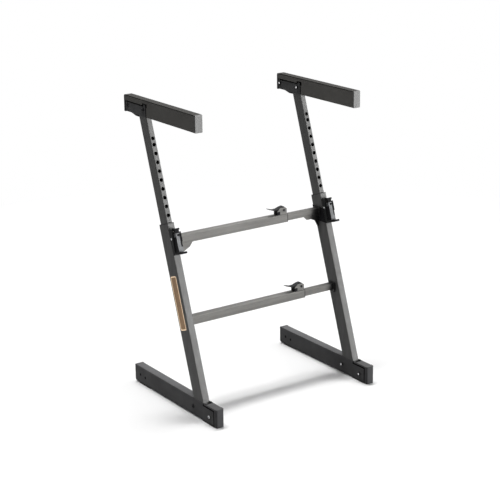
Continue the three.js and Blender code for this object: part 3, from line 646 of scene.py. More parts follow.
def prism(outline: Sequence[Point2], low: float, high: float) -> Mesh:
    """Raises an outline in the XY plane along Z.

    Args:
        outline: Corner points, in order.
        low: Height of the lower face.
        high: Height of the upper face.

    Returns:
        The closed mesh.
    """
    shape = bmesh.new()
    bottom = shape.faces.new([shape.verts.new((x, y, low)) for x, y in outline])
    raised = bmesh.ops.extrude_face_region(shape, geom=[bottom])
    tops = [part for part in raised["geom"] if isinstance(part, bmesh.types.BMVert)]
    bmesh.ops.translate(shape, verts=tops, vec=(0, 0, high - low))
    return shape


def rounded_outline(width: float, height: float, radius: float, steps: int = 4) -> List[Point2]:
    """The outline of a rectangle with round corners, centred on zero.

    Args:
        width: Size along X.
        height: Size along Y.
        radius: Corner radius.
        steps: Steps in each corner.

    Returns:
        The points, anticlockwise.
    """
    points = []
    for index, (sx, sy) in enumerate(((1, 1), (-1, 1), (-1, -1), (1, -1))):
        for step in range(steps + 1):
            angle = (index + step / steps) * math.pi / 2
            points.append((sx * (width / 2 - radius) + radius * math.cos(angle),
                           sy * (height / 2 - radius) + radius * math.sin(angle)))
    return points


def skinned(shape: Mesh, rings: Sequence[Sequence[bmesh.types.BMVert]]) -> Mesh:
    """Skins a row of rings of corners and closes both ends.

    Args:
        shape: The mesh that holds the corners.
        rings: The rings, each with the same number of corners.

    Returns:
        The same mesh, closed.
    """
    sides = len(rings[0])
    for low, high in zip(rings, rings[1:]):
        for k in range(sides):
            shape.faces.new((low[k], low[(k + 1) % sides], high[(k + 1) % sides], high[k]))
    shape.faces.new(rings[0])
    shape.faces.new(rings[-1])
    return shape


def tube_along(points: Sequence[Vector], radius: float, sides: int = 8,
               swell: Callable[[float], float] = lambda share: 1.0) -> Mesh:
    """A round rod along a row of points, with closed ends.

    Args:
        points: The middle line.
        radius: The rod's radius.
        sides: Facets round it.
        swell: Factor on the radius at a share of the way.

    Returns:
        The closed mesh.
    """
    shape = bmesh.new()
    rings = []
    last = len(points) - 1
    sideways = (points[1] - points[0]).orthogonal().normalized()
    for index, point in enumerate(points):
        ahead = (points[min(index + 1, last)] - points[max(index - 1, 0)]).normalized()
        sideways = (sideways - ahead * sideways.dot(ahead)).normalized()
        other = ahead.cross(sideways)
        size = radius * swell(index / last)
        turns = [2 * math.pi * k / sides for k in range(sides)]
        rings.append([shape.verts.new(point + size * (math.cos(turn) * sideways
                                                      + math.sin(turn) * other))
                      for turn in turns])
    return skinned(shape, rings)


def strip_along(line: Sequence[Vector], outward: Vector, width: float, height: float) -> Mesh:
    """A thin flat strip along a line on a face.

    Args:
        line: The strip's middle, as points on the face.
        outward: The face's outward normal.
        width: The strip's width.
        height: How far the strip stands out of the face.

    Returns:
        The closed mesh.
    """
    shape = bmesh.new()
    rings = []
    last = len(line) - 1
    rise = outward * height
    for index, point in enumerate(line):
        before = (point - line[index - 1]).normalized() if index else None
        after = (line[index + 1] - point).normalized() if index < last else None
        ahead = ((before or after) + (after or before)).normalized()
        stretch = 1 / max(MITRE_LIMIT, abs(ahead.dot(after or before)))
        half = outward.cross(ahead).normalized() * width / 2 * stretch
        rings.append([shape.verts.new(point + offset)
                      for offset in (-half - rise, half - rise, half + rise, -half + rise)])
    return skinned(shape, rings)


def dense(points: Sequence[Vector], step: float) -> List[Vector]:
    """Adds points between points so that none are further apart than a step.

    Args:
        points: The row of points.
        step: The longest gap.

    Returns:
        The denser row.
    """
    result: List[Vector] = []
    for first, second in zip(points, points[1:]):
        count = max(1, math.ceil((second - first).length / step))
        result.extend(first.lerp(second, index / count) for index in range(count))
    return result + [points[-1]]


def joined_mesh(first: Mesh, *others: Mesh) -> Mesh:
    """Adds further meshes to the first and frees them.

    Args:
        first: The mesh that is kept.
        others: The meshes that are added.

    Returns:
        The first mesh.
    """
    for other in others:
        data = bpy.data.meshes.new("part")
        other.to_mesh(data)
        other.free()
        first.from_mesh(data)
        bpy.data.meshes.remove(data)
    return first


@dataclass(frozen=True)
class BoltStyle:
    """Sizes and finishes of a cross bolt: a washer, a button head with a socket, and a nut.

    The crown holds the two rims of the nut's chamfer, each as a share of the nut's radius and a
    depth under its top, and the tip's profile is in shares of the tip's radius and heights.
    """

    seat_back: float = 3.6 * MM
    shank: float = 4 * MM
    shank_past_seat: float = 0.1 * MM
    washer: float = 6.5 * MM
    washer_height: float = 1.2 * MM
    washer_edge: float = 0.3 * MM
    head: float = 4.8 * MM
    head_height: float = 3.4 * MM
    head_wall: float = 0.5 * MM
    dome_steps: int = 8
    socket: float = 2.2 * MM
    socket_depth: float = 2.0 * MM
    socket_cone: float = 0.5 * MM
    nut_radius: float = 5.6 * MM
    nut_height: float = 4.2 * MM
    nut_chamfer: float = 0.8 * MM
    crown: Tuple[Point2, Point2] = ((0.86, 1.4 * MM), (0.72, 0.2 * MM))
    tip: float = 3.1 * MM
    tip_sunk: float = 1 * MM
    tip_profile: Tuple[Point2, ...] = ((0, 0), (1, 0), (1, 1.1 * MM), (0.7, 1.7 * MM),
                                       (0, 1.8 * MM))
    edge: float = 0.15 * MM
    head_facets: int = 36
    crown_facets: int = 30
    shank_facets: int = 24
    washer_finish: Finish = DARK_FASTENER
    head_finish: Finish = DARK_FASTENER

    def washer_mesh(self, seat: float) -> Mesh:
        """The washer.

        Args:
            seat: Distance of its seat from the frame's middle plane.

        Returns:
            The mesh.
        """
        top = seat + self.washer_height
        return lathe([(0, seat), (self.washer, seat), (self.washer, top - self.washer_edge),
                      (self.washer - self.washer_edge, top), (0, top)], self.head_facets)

    def head_mesh(self, seat: float) -> Mesh:
        """The button head on its washer, with the socket sunk in it.

        Args:
            seat: Distance of the washer's seat from the frame's middle plane.

        Returns:
            The mesh.
        """
        base = seat + self.washer_height
        rise = self.head_height - self.washer_height - self.head_wall
        angles = [math.pi / 2 * step / self.dome_steps for step in range(self.dome_steps + 1)]
        dome = [(self.socket + (self.head - self.socket) * math.cos(angle),
                 base + self.head_wall + rise * math.sin(angle)) for angle in angles]
        floor = seat + self.head_height - self.socket_depth
        sunk = [(self.socket, floor), (0, floor - self.socket_cone)]
        return lathe([(0, base), (self.head, base)] + dome + sunk, self.head_facets)

    def nut_mesh(self, seat: float) -> Mesh:
        """A hexagon nut with a chamfered crown, and the bolt's shank through it.

        Args:
            seat: Distance of the nut's seat from the frame's middle plane.

        Returns:
            The mesh.
        """
        top = seat + self.nut_height
        hexagon = [(self.nut_radius * math.cos(k * math.pi / 3),
                    self.nut_radius * math.sin(k * math.pi / 3)) for k in range(6)]
        rims = [(self.nut_radius * share, top - depth) for share, depth in self.crown]
        crown = lathe([(0, rims[0][1]), *rims, (0, rims[1][1])], self.crown_facets)
        reach = seat + self.shank_past_seat
        shank = lathe([(0, -reach), (self.shank, -reach), (self.shank, reach), (0, reach)],
                      self.shank_facets)
        return joined_mesh(prism(hexagon, seat, top - self.nut_chamfer), crown, shank)

    def tip_mesh(self, seat: float) -> Mesh:
        """The bolt's bright rounded end, which stands out of the nut.

        Args:
            seat: Distance of the nut's seat from the frame's middle plane.

        Returns:
            The mesh.
        """
        base = seat + self.nut_height - self.tip_sunk
        return lathe([(self.tip * share, base + rise) for share, rise in self.tip_profile],
                     self.shank_facets)


BLACK_BOLT = BoltStyle()
BRIGHT_BOLT = BoltStyle(head_finish=ZINC)


@dataclass(frozen=True)
class CrossBolt:
    """A bolt through a tube, in the place of its plain CAD node."""

    node: str
    side: Side
    body: str
    style: BoltStyle = BLACK_BOLT

    def build(self) -> Pieces:
        """Builds the washer, the head, the nut and the tip.

        Returns:
            The new pieces.
        """
        low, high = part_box(self.node)
        middle_x = self.side.middle_x
        axis = Vector((middle_x, (low.y + high.y) / 2, (low.z + high.z) / 2))
        end = high.x if self.side is Side.RIGHT else low.x
        style = self.style
        seat = abs(end - middle_x) - style.seat_back
        outer = facing(axis, self.side.value)
        inner = facing(axis, -self.side.value)
        parts = (("washer", style.washer_mesh(seat), style.washer_finish, outer),
                 ("head", style.head_mesh(seat), style.head_finish, outer),
                 ("nut", style.nut_mesh(seat), style.washer_finish, inner),
                 ("tip", style.tip_mesh(seat), BOLT_TIP, inner))
        pieces = []
        for name, shape, finish, place in parts:
            shape.transform(place)
            piece = soften(object_from(f"{self.node}_{name}", shape, finish), style.edge)
            pieces.append(fit(piece, self.body, self.node))
        return pieces


@dataclass
class PostAxes:
    """Places on a sloping post: along it (rise), ahead of its axis (forward) and across it."""

    side: Side
    up: Vector = field(init=False)
    forward: Vector = field(init=False)

    def __post_init__(self) -> None:
        """Takes the slope from the height joint's axis."""
        joints = {joint["name"]: joint for joint in frame["joints"]}
        self.up = Vector(joints[f"{self.side.label}_height_slide"]["axis"]).normalized()
        self.forward = Vector((0, -self.up.z, self.up.y))

    def point(self, across: float, forward: float, rise: float) -> Vector:
        """A point in the stand's frame."""
        foot = Vector((self.side.middle_x + across, POST_FOOT_Y, 0))
        return foot + self.forward * forward + self.up * rise


@dataclass(frozen=True)
class Strip:
    """A thin strip of painted shade on a face that looks along X, with its corners as Y and Z."""

    name: str
    corners: Tuple[Point2, ...]
    width: float
    height: float
    finish: Finish = SHADOW_GAP


class SubAssembly(ABC):
    """A sub-assembly that paints its CAD nodes and adds its own pieces."""

    NODES: ClassVar[Names] = ()

    @property
    @abstractmethod
    def prefix(self) -> str:
        """The first word of its nodes' and pieces' names."""

    @abstractmethod
    def build(self) -> Pieces:
        """Builds the pieces that the CAD doesn't have, and gives them back."""

    def dress(self) -> Pieces:
        """Paints the CAD nodes and rounds their edges.

        Returns:
            The nodes.
        """
        pieces = []
        for part in self.NODES:
            node = paint(frame["nodes"][f"{self.prefix}_{part}"], NODE_FINISHES[part])
            pieces.append(soften(node, WIDER_EDGES.get(part, EDGE_WIDTH)))
        return pieces


@dataclass
class SidePart(SubAssembly):
    """A sub-assembly of one side frame."""

    side: Side

    @property
    def prefix(self) -> str:
        """The side's word."""
        return self.side.label

    def bolts(self, body: str, styles: Mapping[str, BoltStyle]) -> Pieces:
        """Builds cross bolts.

        Args:
            body: The body that they ride on.
            styles: Each bolt's name, without the side, and its style.

        Returns:
            The new pieces.
        """
        pieces: Pieces = []
        for name, style in styles.items():
            pieces += CrossBolt(f"{self.prefix}_{name}", self.side, body, style).build()
        return pieces

    def strips(self, node: str, body: str, *strips: Strip) -> Pieces:
        """Lays thin strips on both side faces of a node.

        Args:
            node: The node's name, without the side.
            body: The body that the strips ride on.
            strips: The strips.

        Returns:
            The new pieces.
        """
        pieces = []
        for word, sign, x in side_faces(f"{self.prefix}_{node}"):
            for strip in strips:
                line = [Vector((x, y, z)) for y, z in strip.corners]
                shape = strip_along(line, X_WAY * sign, strip.width, strip.height)
                piece = object_from(f"{self.prefix}_{strip.name}_{word}", shape, strip.finish)
                pieces.append(fit(piece, body))
        return pieces


@dataclass
class Foot(SidePart):
    """One foot: its tube, caps, pads and bolts.

    The profiles of the screw's head and of the flat ring of painted shade round it are in shares of
    the screw's radius and heights.
    """

    NODES: ClassVar[Names] = ("foot_tube", "foot_bracket", "foot_front_cap", "foot_rear_cap",
                              "foot_rear_pad")

    lip_drop: float = 7 * MM
    lip_rear_y: float = -168.3 * MM
    # Width and height of the painted shadow strip along the cap's seam.
    seam_width: float = 4.2 * MM
    seam_height: float = 0.08 * MM
    screw_radius: float = 2.4 * MM
    screw_facets: int = 24
    screw_edge: float = 0.1 * MM
    screw_places: Tuple[Point2, ...] = ((192.5 * MM, 30.2 * MM), (164 * MM, 27.8 * MM))
    screw_head: Tuple[Point2, ...] = ((0, -2.6 * MM), (1, -2.6 * MM), (1, -1.7 * MM),
                                      (0.75, -1.3 * MM), (0.3, -1.2 * MM), (0.3, -2.0 * MM),
                                      (0, -2.0 * MM))
    eyelet: Tuple[Point2, ...] = ((1, -0.4 * MM), (1.7, -0.4 * MM), (1.7, 0.1 * MM),
                                  (1.5, 0.25 * MM), (1, 0.25 * MM), (1, -0.4 * MM))

    def build(self) -> Pieces:
        """Adds the bolts, the painted shadow along the cap's seam and the small screws.

        Returns:
            The new pieces.
        """
        pieces = self.bolts(self.side.frame_body, {"foot_bolt_front": BRIGHT_BOLT,
                                                   "foot_bolt_rear": BLACK_BOLT})
        pieces += self.cap_seam()
        for index, (y, z) in enumerate(self.screw_places):
            for word, sign, x in side_faces(f"{self.prefix}_foot_tube"):
                name = f"{self.prefix}_foot_screw_{index}_{word}"
                pieces += self.screw(name, facing(Vector((x, y, z)), sign))
        return pieces

    def cap_seam(self) -> Pieces:
        """A painted shadow strip along the stepped joint between the front cap and the tube, on both
        sides of the foot.

        Returns:
            The new pieces.
        """
        low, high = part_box(f"{self.prefix}_foot_tube")
        lip_z = high.z - self.lip_drop
        corners = ((self.lip_rear_y, high.z), (self.lip_rear_y, lip_z), (low.y, lip_z),
                   (low.y, low.z))
        seam_shadow = Strip("cap_seam", corners, self.seam_width, self.seam_height)
        return self.strips("foot_tube", self.side.frame_body, seam_shadow)

    def screw(self, name: str, place: Matrix) -> Pieces:
        """A small sunk screw, which holds the rear cap and pad, with a flat ring round it; both are
        painted near-black as the shade of the recess.

        Args:
            name: The screw's name.
            place: Where it goes on the tube's face.

        Returns:
            The head and the ring of painted shade.
        """
        pieces = []
        for part, profile in (("head", self.screw_head), ("eyelet", self.eyelet)):
            shape = lathe([(self.screw_radius * share, height) for share, height in profile],
                          self.screw_facets)
            shape.transform(place)
            # Painted shade: the near-black shadow finish makes head and ring read as a dark recess.
            piece = soften(object_from(f"{name}_{part}", shape, SHADOW_GAP), self.screw_edge)
            pieces.append(fit(piece, self.side.frame_body))
        return pieces


@dataclass
class Arm(SidePart):
    """One arm on the head of its upper post."""

    NODES: ClassVar[Names] = ("arm_channel", "arm_cover", "arm_front_cap", "arm_rear_cap",
                              "head_bracket")

    notch_front_y: float = 110 * MM
    notch_rear_inset: float = 8 * MM
    notch_drop: float = 16.8 * MM
    hump_front_y: float = 106 * MM
    hump_rear_y: float = 131 * MM
    hump_round: float = 1 * MM
    hump_drop: float = 10.8 * MM
    # Sizes of the painted shadow strips along the cut-out's top and end.
    edge_width: float = 8.0 * MM
    end_width: float = 13.0 * MM
    end_lift: float = 1 * MM
    edge_height: float = 0.3 * MM
    # Place and size of the painted shade line along the cover's upper edges.
    fold_drop: float = 1.3 * MM
    fold_inset: float = 1 * MM
    fold_width: float = 2.3 * MM
    fold_height: float = 0.06 * MM

    def build(self) -> Pieces:
        """Adds the cross bolts, the painted shadow along the cover's cut-out and the painted shade
        line along its upper edges.

        Returns:
            The new pieces.
        """
        pieces = self.bolts(self.side.mast_body, {"arm_bolt_front": BLACK_BOLT,
                                                  "arm_bolt_rear": BLACK_BOLT})
        return pieces + self.notch_edge() + self.fold_line()

    def notch_edge(self) -> Pieces:
        """Painted shadow strips on the step where the cover ends over the channel, on both sides of
        the arm.

        Returns:
            The new pieces.
        """
        cover_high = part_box(f"{self.prefix}_arm_cover")[1]
        channel_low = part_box(f"{self.prefix}_arm_channel")[0]
        notch_z = cover_high.z - self.notch_drop
        hump_z = cover_high.z - self.hump_drop
        top = ((cover_high.y - self.notch_rear_inset, notch_z),
               (self.hump_rear_y + self.hump_round, notch_z),
               (self.hump_rear_y, hump_z), (self.hump_front_y, hump_z))
        end = ((self.notch_front_y, hump_z), (self.notch_front_y, channel_low.z + self.end_lift))
        return self.strips("arm_channel", self.side.mast_body,
                           Strip("notch_top", top, self.edge_width, self.edge_height),
                           Strip("notch_end", end, self.end_width, self.edge_height))

    def fold_line(self) -> Pieces:
        """A painted shade line along the cover's upper edges, on both sides of the arm.

        Returns:
            The new pieces.
        """
        low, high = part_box(f"{self.prefix}_arm_cover")
        z = high.z - self.fold_drop
        corners = ((low.y + self.fold_inset, z), (high.y - self.fold_inset, z))
        edge_shade = Strip("fold_line", corners, self.fold_width, self.fold_height, COVER_EDGE_SHADE)
        return self.strips("arm_cover", self.side.mast_body, edge_shade)


@dataclass
class Post(SidePart):
    """One sloping post: outer tube, bushing and inner tube."""

    NODES: ClassVar[Names] = ("lower_post", "upper_post", "post_bushing", "upper_post_glide")

    plate_low: float = 270 * MM
    plate_high: float = 433 * MM
    plate_back: float = -18 * MM
    plate_front: float = 14 * MM
    plate_face: float = -12 * MM
    plate_corner: float = 5 * MM
    plate_corner_steps: int = 8
    plate_edge: float = 0.12 * MM
    border_width: float = 3.2 * MM
    border_layer: Point2 = (0.05 * MM, 0.45 * MM)
    field_layer: Point2 = (0.1 * MM, 0.6 * MM)
    inner_front: float = 20 * MM
    first_hole: float = 454.4 * MM
    hole_count: int = 15
    hole_pitch: float = 26.4 * MM
    hole_radius: float = 4.3 * MM
    stop_rise: float = 19 * MM
    stop_radius: float = 2.9 * MM
    # Sizes of the near-black rings that paint the holes' inner shade.
    lining_wall: float = 1.5 * MM
    lining_depth: float = 1.4 * MM
    lining_lip: float = 0.06 * MM
    lining_facets: int = 28

    def build(self) -> Pieces:
        """Adds rings of painted shade in the holes and the bare plate on the left post's outer face.

        Returns:
            The new pieces.
        """
        pieces = []
        rise = self.first_hole
        for index in range(self.hole_count):
            pieces.append(self.hole_lining(f"hole_lining_{index}", rise, self.hole_radius))
            rise += self.hole_pitch
        stop = rise - self.hole_pitch + self.stop_rise
        pieces.append(self.hole_lining("stop_hole_lining", stop, self.stop_radius))
        return pieces + (self.plate() if self.side is Side.LEFT else [])

    def hole_lining(self, name: str, rise: float, radius: float) -> bpy.types.Object:
        """A near-black ring of painted shade in the mouth of one hole in the inner post's front
        wall.

        Args:
            name: The piece's name, without the side.
            rise: The hole's place along the post.
            radius: The ring's inner radius.

        Returns:
            The piece.
        """
        outer = self.hole_radius + self.lining_wall
        bottom, top = -self.lining_depth, self.lining_lip
        shape = lathe([(radius, bottom), (outer, bottom), (outer, top), (radius, top),
                       (radius, bottom)], self.lining_facets)
        axes = PostAxes(self.side)
        centre = axes.point(0, self.inner_front, rise)
        shape.transform(Axes(centre, X_WAY, axes.forward.cross(X_WAY), axes.forward).matrix())
        piece = object_from(f"{self.prefix}_{name}", shape, SHADOW_GAP)
        return fit(piece, self.side.mast_body)

    def plate(self) -> Pieces:
        """A bare plate with a light border, stuck on the post's outer face.

        Returns:
            The border and the field.
        """
        axes = PostAxes(self.side)
        middle = axes.point(self.plate_face, (self.plate_back + self.plate_front) / 2,
                            (self.plate_low + self.plate_high) / 2)
        place = Axes(middle, axes.forward, axes.up, -X_WAY).matrix()
        width = self.plate_front - self.plate_back
        height = self.plate_high - self.plate_low
        pieces = []
        for name, inset, layer, finish in (
                ("border", 0.0, self.border_layer, PLATE_BORDER),
                ("field", self.border_width, self.field_layer, PLATE_FIELD)):
            outline = rounded_outline(width - 2 * inset, height - 2 * inset,
                                      self.plate_corner - inset, self.plate_corner_steps)
            shape = prism(outline, *layer)
            shape.transform(place)
            piece = soften(object_from(f"plate_{name}", shape, finish), self.plate_edge)
            pieces.append(fit(piece, self.side.frame_body))
        return pieces


@dataclass(frozen=True)
class Moulding:
    """A black block moulded on the lever, with its extents in the post's own directions."""

    name: str
    across: Point2
    forward: Point2
    rise: Point2
    corner: float


@dataclass
class TriggerLatch(SidePart):
    """The latch on one post's front: housing, lever, grip, pivot, pin and spring."""

    NODES: ClassVar[Names] = ("trigger_housing", "trigger_lever", "trigger_grip", "index_pin")

    spring_rise: float = 558 * MM
    spring_radius: float = 4.2 * MM
    spring_wire: float = 0.62 * MM
    spring_turns: float = 7.0
    spring_steps: int = 24
    spring_start: float = 28.1 * MM
    spring_end: float = 47.4 * MM
    spring_keep: float = 0.78
    pivot_rise: float = 542 * MM
    pivot_forward: float = 31.4 * MM
    pivot_radius: float = 2.2 * MM
    rivet_radius: float = 3.4 * MM
    rivet_height: float = 1 * MM
    rivet_steps: int = 6
    rivet_facets: int = 28
    rivet_edge: float = 0.1 * MM
    moulding_edge: float = 0.2 * MM
    mouldings: Tuple[Moulding, ...] = (
        Moulding("right_cheek", (4.0 * MM, 8.6 * MM), (53.2 * MM, 54.0 * MM),
                 (515 * MM, 555 * MM), 0.32 * MM),
        Moulding("left_edge", (-8.6 * MM, -7.6 * MM), (53.2 * MM, 53.8 * MM),
                 (503 * MM, 555 * MM), 0.24 * MM),
        Moulding("left_cheek", (-9.1 * MM, -8.4 * MM), (38.0 * MM, 53.4 * MM),
                 (500.5 * MM, 545 * MM), 0.28 * MM),
        Moulding("finger_pad", (-8.6 * MM, 10.7 * MM), (52.5 * MM, 68.8 * MM),
                 (494 * MM, 499.6 * MM), 1.2 * MM))
    rib_count: int = 5
    rib_start: float = 55 * MM
    rib_pitch: float = 2.6 * MM
    rib_width: float = 1.2 * MM
    rib_corner: float = 0.3 * MM
    rib_across: Point2 = (-7.6 * MM, 9.7 * MM)
    rib_rise: Point2 = (493.3 * MM, 494.6 * MM)

    def build(self) -> Pieces:
        """Adds the fine spring, the rivet-headed pivot and the black mouldings with the ribs.

        Returns:
            The new pieces.
        """
        pieces = [self.spring(), self.pivot()]
        pieces += [self.moulding(block) for block in self.mouldings]
        for index in range(self.rib_count):
            start = self.rib_start + self.rib_pitch * index
            rib = Moulding(f"finger_rib_{index}", self.rib_across,
                           (start, start + self.rib_width), self.rib_rise, self.rib_corner)
            pieces.append(self.moulding(rib))
        return pieces

    def moulding(self, block: Moulding) -> bpy.types.Object:
        """A black piece moulded on the lever, riding on it.

        Args:
            block: Its name, without the side, and its extents.

        Returns:
            The piece.
        """
        axes = PostAxes(self.side)
        (left, right), (back, front) = block.across, block.forward
        shape = prism(rounded_outline(right - left, front - back, block.corner), *block.rise)
        centre = axes.point((left + right) / 2, (back + front) / 2, 0)
        shape.transform(Axes(centre, X_WAY, axes.forward, axes.up).matrix())
        name = f"{self.prefix}_{block.name}"
        piece = soften(object_from(name, shape, BLACK_PLASTIC), self.moulding_edge)
        return fit(piece, body_of(f"{self.prefix}_trigger_lever"))

    def spring(self) -> bpy.types.Object:
        """A fine coil in the place of the CAD coil.

        Returns:
            The piece.
        """
        axes = PostAxes(self.side)
        total = int(self.spring_turns * self.spring_steps)
        points = []
        for index in range(total + 1):
            share = index / total
            turn = 2 * math.pi * self.spring_turns * share
            points.append(axes.point(
                self.spring_radius * math.cos(turn),
                self.spring_start + (self.spring_end - self.spring_start) * share,
                self.spring_rise + self.spring_radius * math.sin(turn)))
        coil = tube_along(points, self.spring_wire)
        piece = smooth_all(object_from(f"{self.prefix}_fine_spring", coil, SPRING_STEEL))
        fit(piece, self.side.frame_body, f"{self.prefix}_trigger_spring")
        f"{self.prefix}_trigger_hinge"
        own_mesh(piece)
        return piece

    def pivot(self) -> bpy.types.Object:
        """A turned pin with domed rivet heads.

        Returns:
            The piece.
        """
        node = f"{self.prefix}_trigger_pivot"
        low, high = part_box(node)
        axes = PostAxes(self.side)
        reach = (high.x - low.x) / 2
        seat = reach - self.rivet_height
        angles = [math.pi / 2 * k / self.rivet_steps for k in range(self.rivet_steps + 1)]
        dome = [(self.rivet_radius * math.cos(angle), seat + self.rivet_height * math.sin(angle))
                for angle in angles]
        mirrored = [(radius, -height) for radius, height in reversed(dome)]
        pin = [(self.pivot_radius, -seat), (self.pivot_radius, seat)]
        shape = lathe([(0, -reach)] + mirrored + pin + dome, self.rivet_facets)
        centre = axes.point(0, self.pivot_forward, self.pivot_rise)
        shape.transform(Axes(centre, axes.forward, X_WAY.cross(axes.forward), X_WAY).matrix())
        rivet = object_from(f"{self.prefix}_pivot_rivet", shape, ZINC)
        return fit(soften(rivet, self.rivet_edge), self.side.frame_body, node)


@dataclass
class Crossbar(SubAssembly):
    """A telescoping crossbar with its cam clamp."""

    NODES: ClassVar[Names] = ("crossbar_outer", "crossbar_inner", "clamp_bracket", "cam_lever",
                              "clamp_pad", "cam_pin")

    level: Level
    half: float = 13 * MM
    weld_radius: float = 1.9 * MM
    weld_sunk: float = 0.55
    weld_outset: float = 0.6
    weld_corner: float = 3 * MM
    weld_step: float = 0.6 * MM
    weld_pitch: float = 2.6 * MM
    weld_ripple: float = 0.16
    weld_drop: float = 0.3 * MM
    # Size of the painted shadow ring round the outer tube's mouth.
    rim_radius: float = 1.3 * MM
    rim_inset: float = 0.8 * MM
    rim_corner: float = 2.2 * MM
    rim_step: float = 2 * MM
    boot_length: float = 11.4 * MM
    boot_low: float = 0.2 * MM
    boot_height: float = 10.4 * MM
    boot_margin: float = 0.5 * MM
    boot_shift: float = 0.4 * MM
    boot_corner: float = 1 * MM
    boot_edge: float = 0.4 * MM
    saddle_low: float = 477 * MM
    saddle_half: float = 24.4 * MM
    saddle_sunk: float = 0.02 * MM
    saddle_thickness: float = 1.4 * MM
    saddle_edge: float = 0.3 * MM

    @property
    def prefix(self) -> str:
        """The level's word."""
        return self.level.value

    def build(self) -> Pieces:
        """Adds the weld bead, the painted shadow round the mouth, the block's cover and the upper
        bar's saddle.

        Returns:
            The new pieces.
        """
        pieces = [self.welds(), self.mouth_rim(), self.boot()]
        return pieces + ([self.saddle()] if self.level is Level.UPPER else [])

    def saddle(self) -> bpy.types.Object:
        """The black plate on the right post's inner face that the inner bar's end is fixed to.

        Returns:
            The piece.
        """
        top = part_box(f"{self.prefix}_crossbar_inner")[1].z
        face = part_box("right_lower_post")[0].x
        up = PostAxes(Side.RIGHT).up
        outline = []
        for z, signs in ((self.saddle_low, (-1, 1)), (top, (1, -1))):
            middle_y = POST_FOOT_Y + z * up.y / up.z
            outline += [(middle_y + sign * self.saddle_half / up.z, z) for sign in signs]
        shape = prism(outline, 0.0, self.saddle_thickness)
        origin = Vector((face + self.saddle_sunk, 0, 0))
        shape.transform(Axes(origin, Y_WAY, Z_WAY, -X_WAY).matrix())
        piece = soften(object_from("upper_bar_saddle", shape, BLACK_PLASTIC), self.saddle_edge)
        return fit(piece, Side.RIGHT.frame_body)

    def mouth_rim(self) -> bpy.types.Object:
        """A painted shadow ring round the outer tube's mouth, in the gap to the inner tube.

        Returns:
            The piece.
        """
        low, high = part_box(f"{self.prefix}_crossbar_outer")
        size = 2 * (self.half - self.rim_inset)
        centre = Vector((high.x - self.rim_radius, low.y + self.half, high.z - self.half))
        outline = rounded_outline(size, size, self.rim_corner)
        loop = [centre + Vector((0, y, z)) for y, z in outline + outline[:1]]
        shape = tube_along(dense(loop, self.rim_step), self.rim_radius)
        # Painted shadow in the near-black shadow finish.
        piece = smooth_all(object_from(f"{self.prefix}_mouth_rim", shape, SHADOW_GAP))
        return fit(piece, Side.LEFT.frame_body)

    def boot(self) -> bpy.types.Object:
        """The black block's cover under the cam lever.

        Returns:
            The piece.
        """
        low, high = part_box(f"{self.prefix}_clamp_bracket")
        outline = rounded_outline(self.boot_length, high.y - low.y + self.boot_margin,
                                  self.boot_corner)
        shape = prism(outline, low.z + self.boot_low, low.z + self.boot_height)
        shape.transform(Matrix.Translation((low.x + self.boot_length / 2 - self.boot_shift,
                                            (low.y + high.y) / 2, 0)))
        boot = object_from(f"{self.prefix}_clamp_boot", shape, BLACK_PLASTIC)
        return fit(soften(boot, self.boot_edge), Side.LEFT.frame_body)

    def welds(self) -> bpy.types.Object:
        """A rippled bead round the outer tube where it meets the left post.

        Returns:
            The piece.
        """
        low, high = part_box(f"{self.prefix}_clamp_bracket")
        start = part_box(f"{self.prefix}_crossbar_outer")[0].x
        centre = Vector((start, (low.y + high.y) / 2, low.z - self.weld_drop - self.half))
        size = 2 * self.half + self.weld_radius * self.weld_outset
        radius = self.weld_radius * self.weld_sunk
        outline = rounded_outline(size, size, self.weld_corner)
        loop = [centre + Vector((radius, y, z)) for y, z in outline + outline[:1]]
        points = dense(loop, self.weld_step)
        ripples = sum((b - a).length for a, b in zip(points, points[1:])) / self.weld_pitch
        shape = tube_along(points, radius, swell=lambda share: (
            1 + self.weld_ripple * math.sin(2 * math.pi * ripples * share)))
        piece = smooth_all(object_from(f"{self.prefix}_weld_bead", shape, WELD))
        return fit(piece, Side.LEFT.frame_body)


@dataclass(frozen=True)
class StudioFloor:
    """A white floor that keeps the stand's shadow and fades into the backdrop."""

    size: float = 14.0
    segments: int = 8
    colour: Colour = grey(0.85)
    bounce: Colour = grey(0.10)
    grain_scale: float = 3.0
    grain_low: float = 0.985
    fade_start: float = 1.3
    fade_end: float = 2.4

    def build(self) -> None:
        """Builds the floor and its material."""
        shape = bmesh.new()
        bmesh.ops.create_grid(shape, x_segments=self.segments, y_segments=self.segments,
                              size=self.size / 2)
        floor = bare_object("floor", shape)
        floor.data.materials.append(self.material())

    def material(self) -> bpy.types.Material:
        """White where it is seen or mirrored, darker for the light that it throws back up.

        Returns:
            The material.
        """
        made = bpy.data.materials.new("studio_floor")
        made.use_nodes = True
        made.node_tree.nodes.clear()
        graph = NodeGraph(made.node_tree)
        seen = graph.seen()
        grain = graph.spread(graph.noise(self.grain_scale), self.grain_low, 1.0)
        white = graph.mix(1.0, rgba(self.colour), grain, "MULTIPLY")
        colour = graph.mix(seen, rgba(self.bounce), white)
        near = graph.add("ShaderNodeBsdfDiffuse", {"Color": colour})
        far = graph.add("ShaderNodeEmission", {"Color": (1, 1, 1, 1), "Strength": seen})
        distance = graph.add("ShaderNodeVectorMath", {"0": graph.own_place()}, operation="LENGTH")
        fade = graph.spread(distance.outputs["Value"], 0.0, 1.0, self.fade_start, self.fade_end)
        both = graph.add("ShaderNodeMixShader",
                         {"0": fade, "1": near.outputs[0], "2": far.outputs[0]})
        graph.add("ShaderNodeOutputMaterial", {"Surface": both.outputs[0]})
        return made


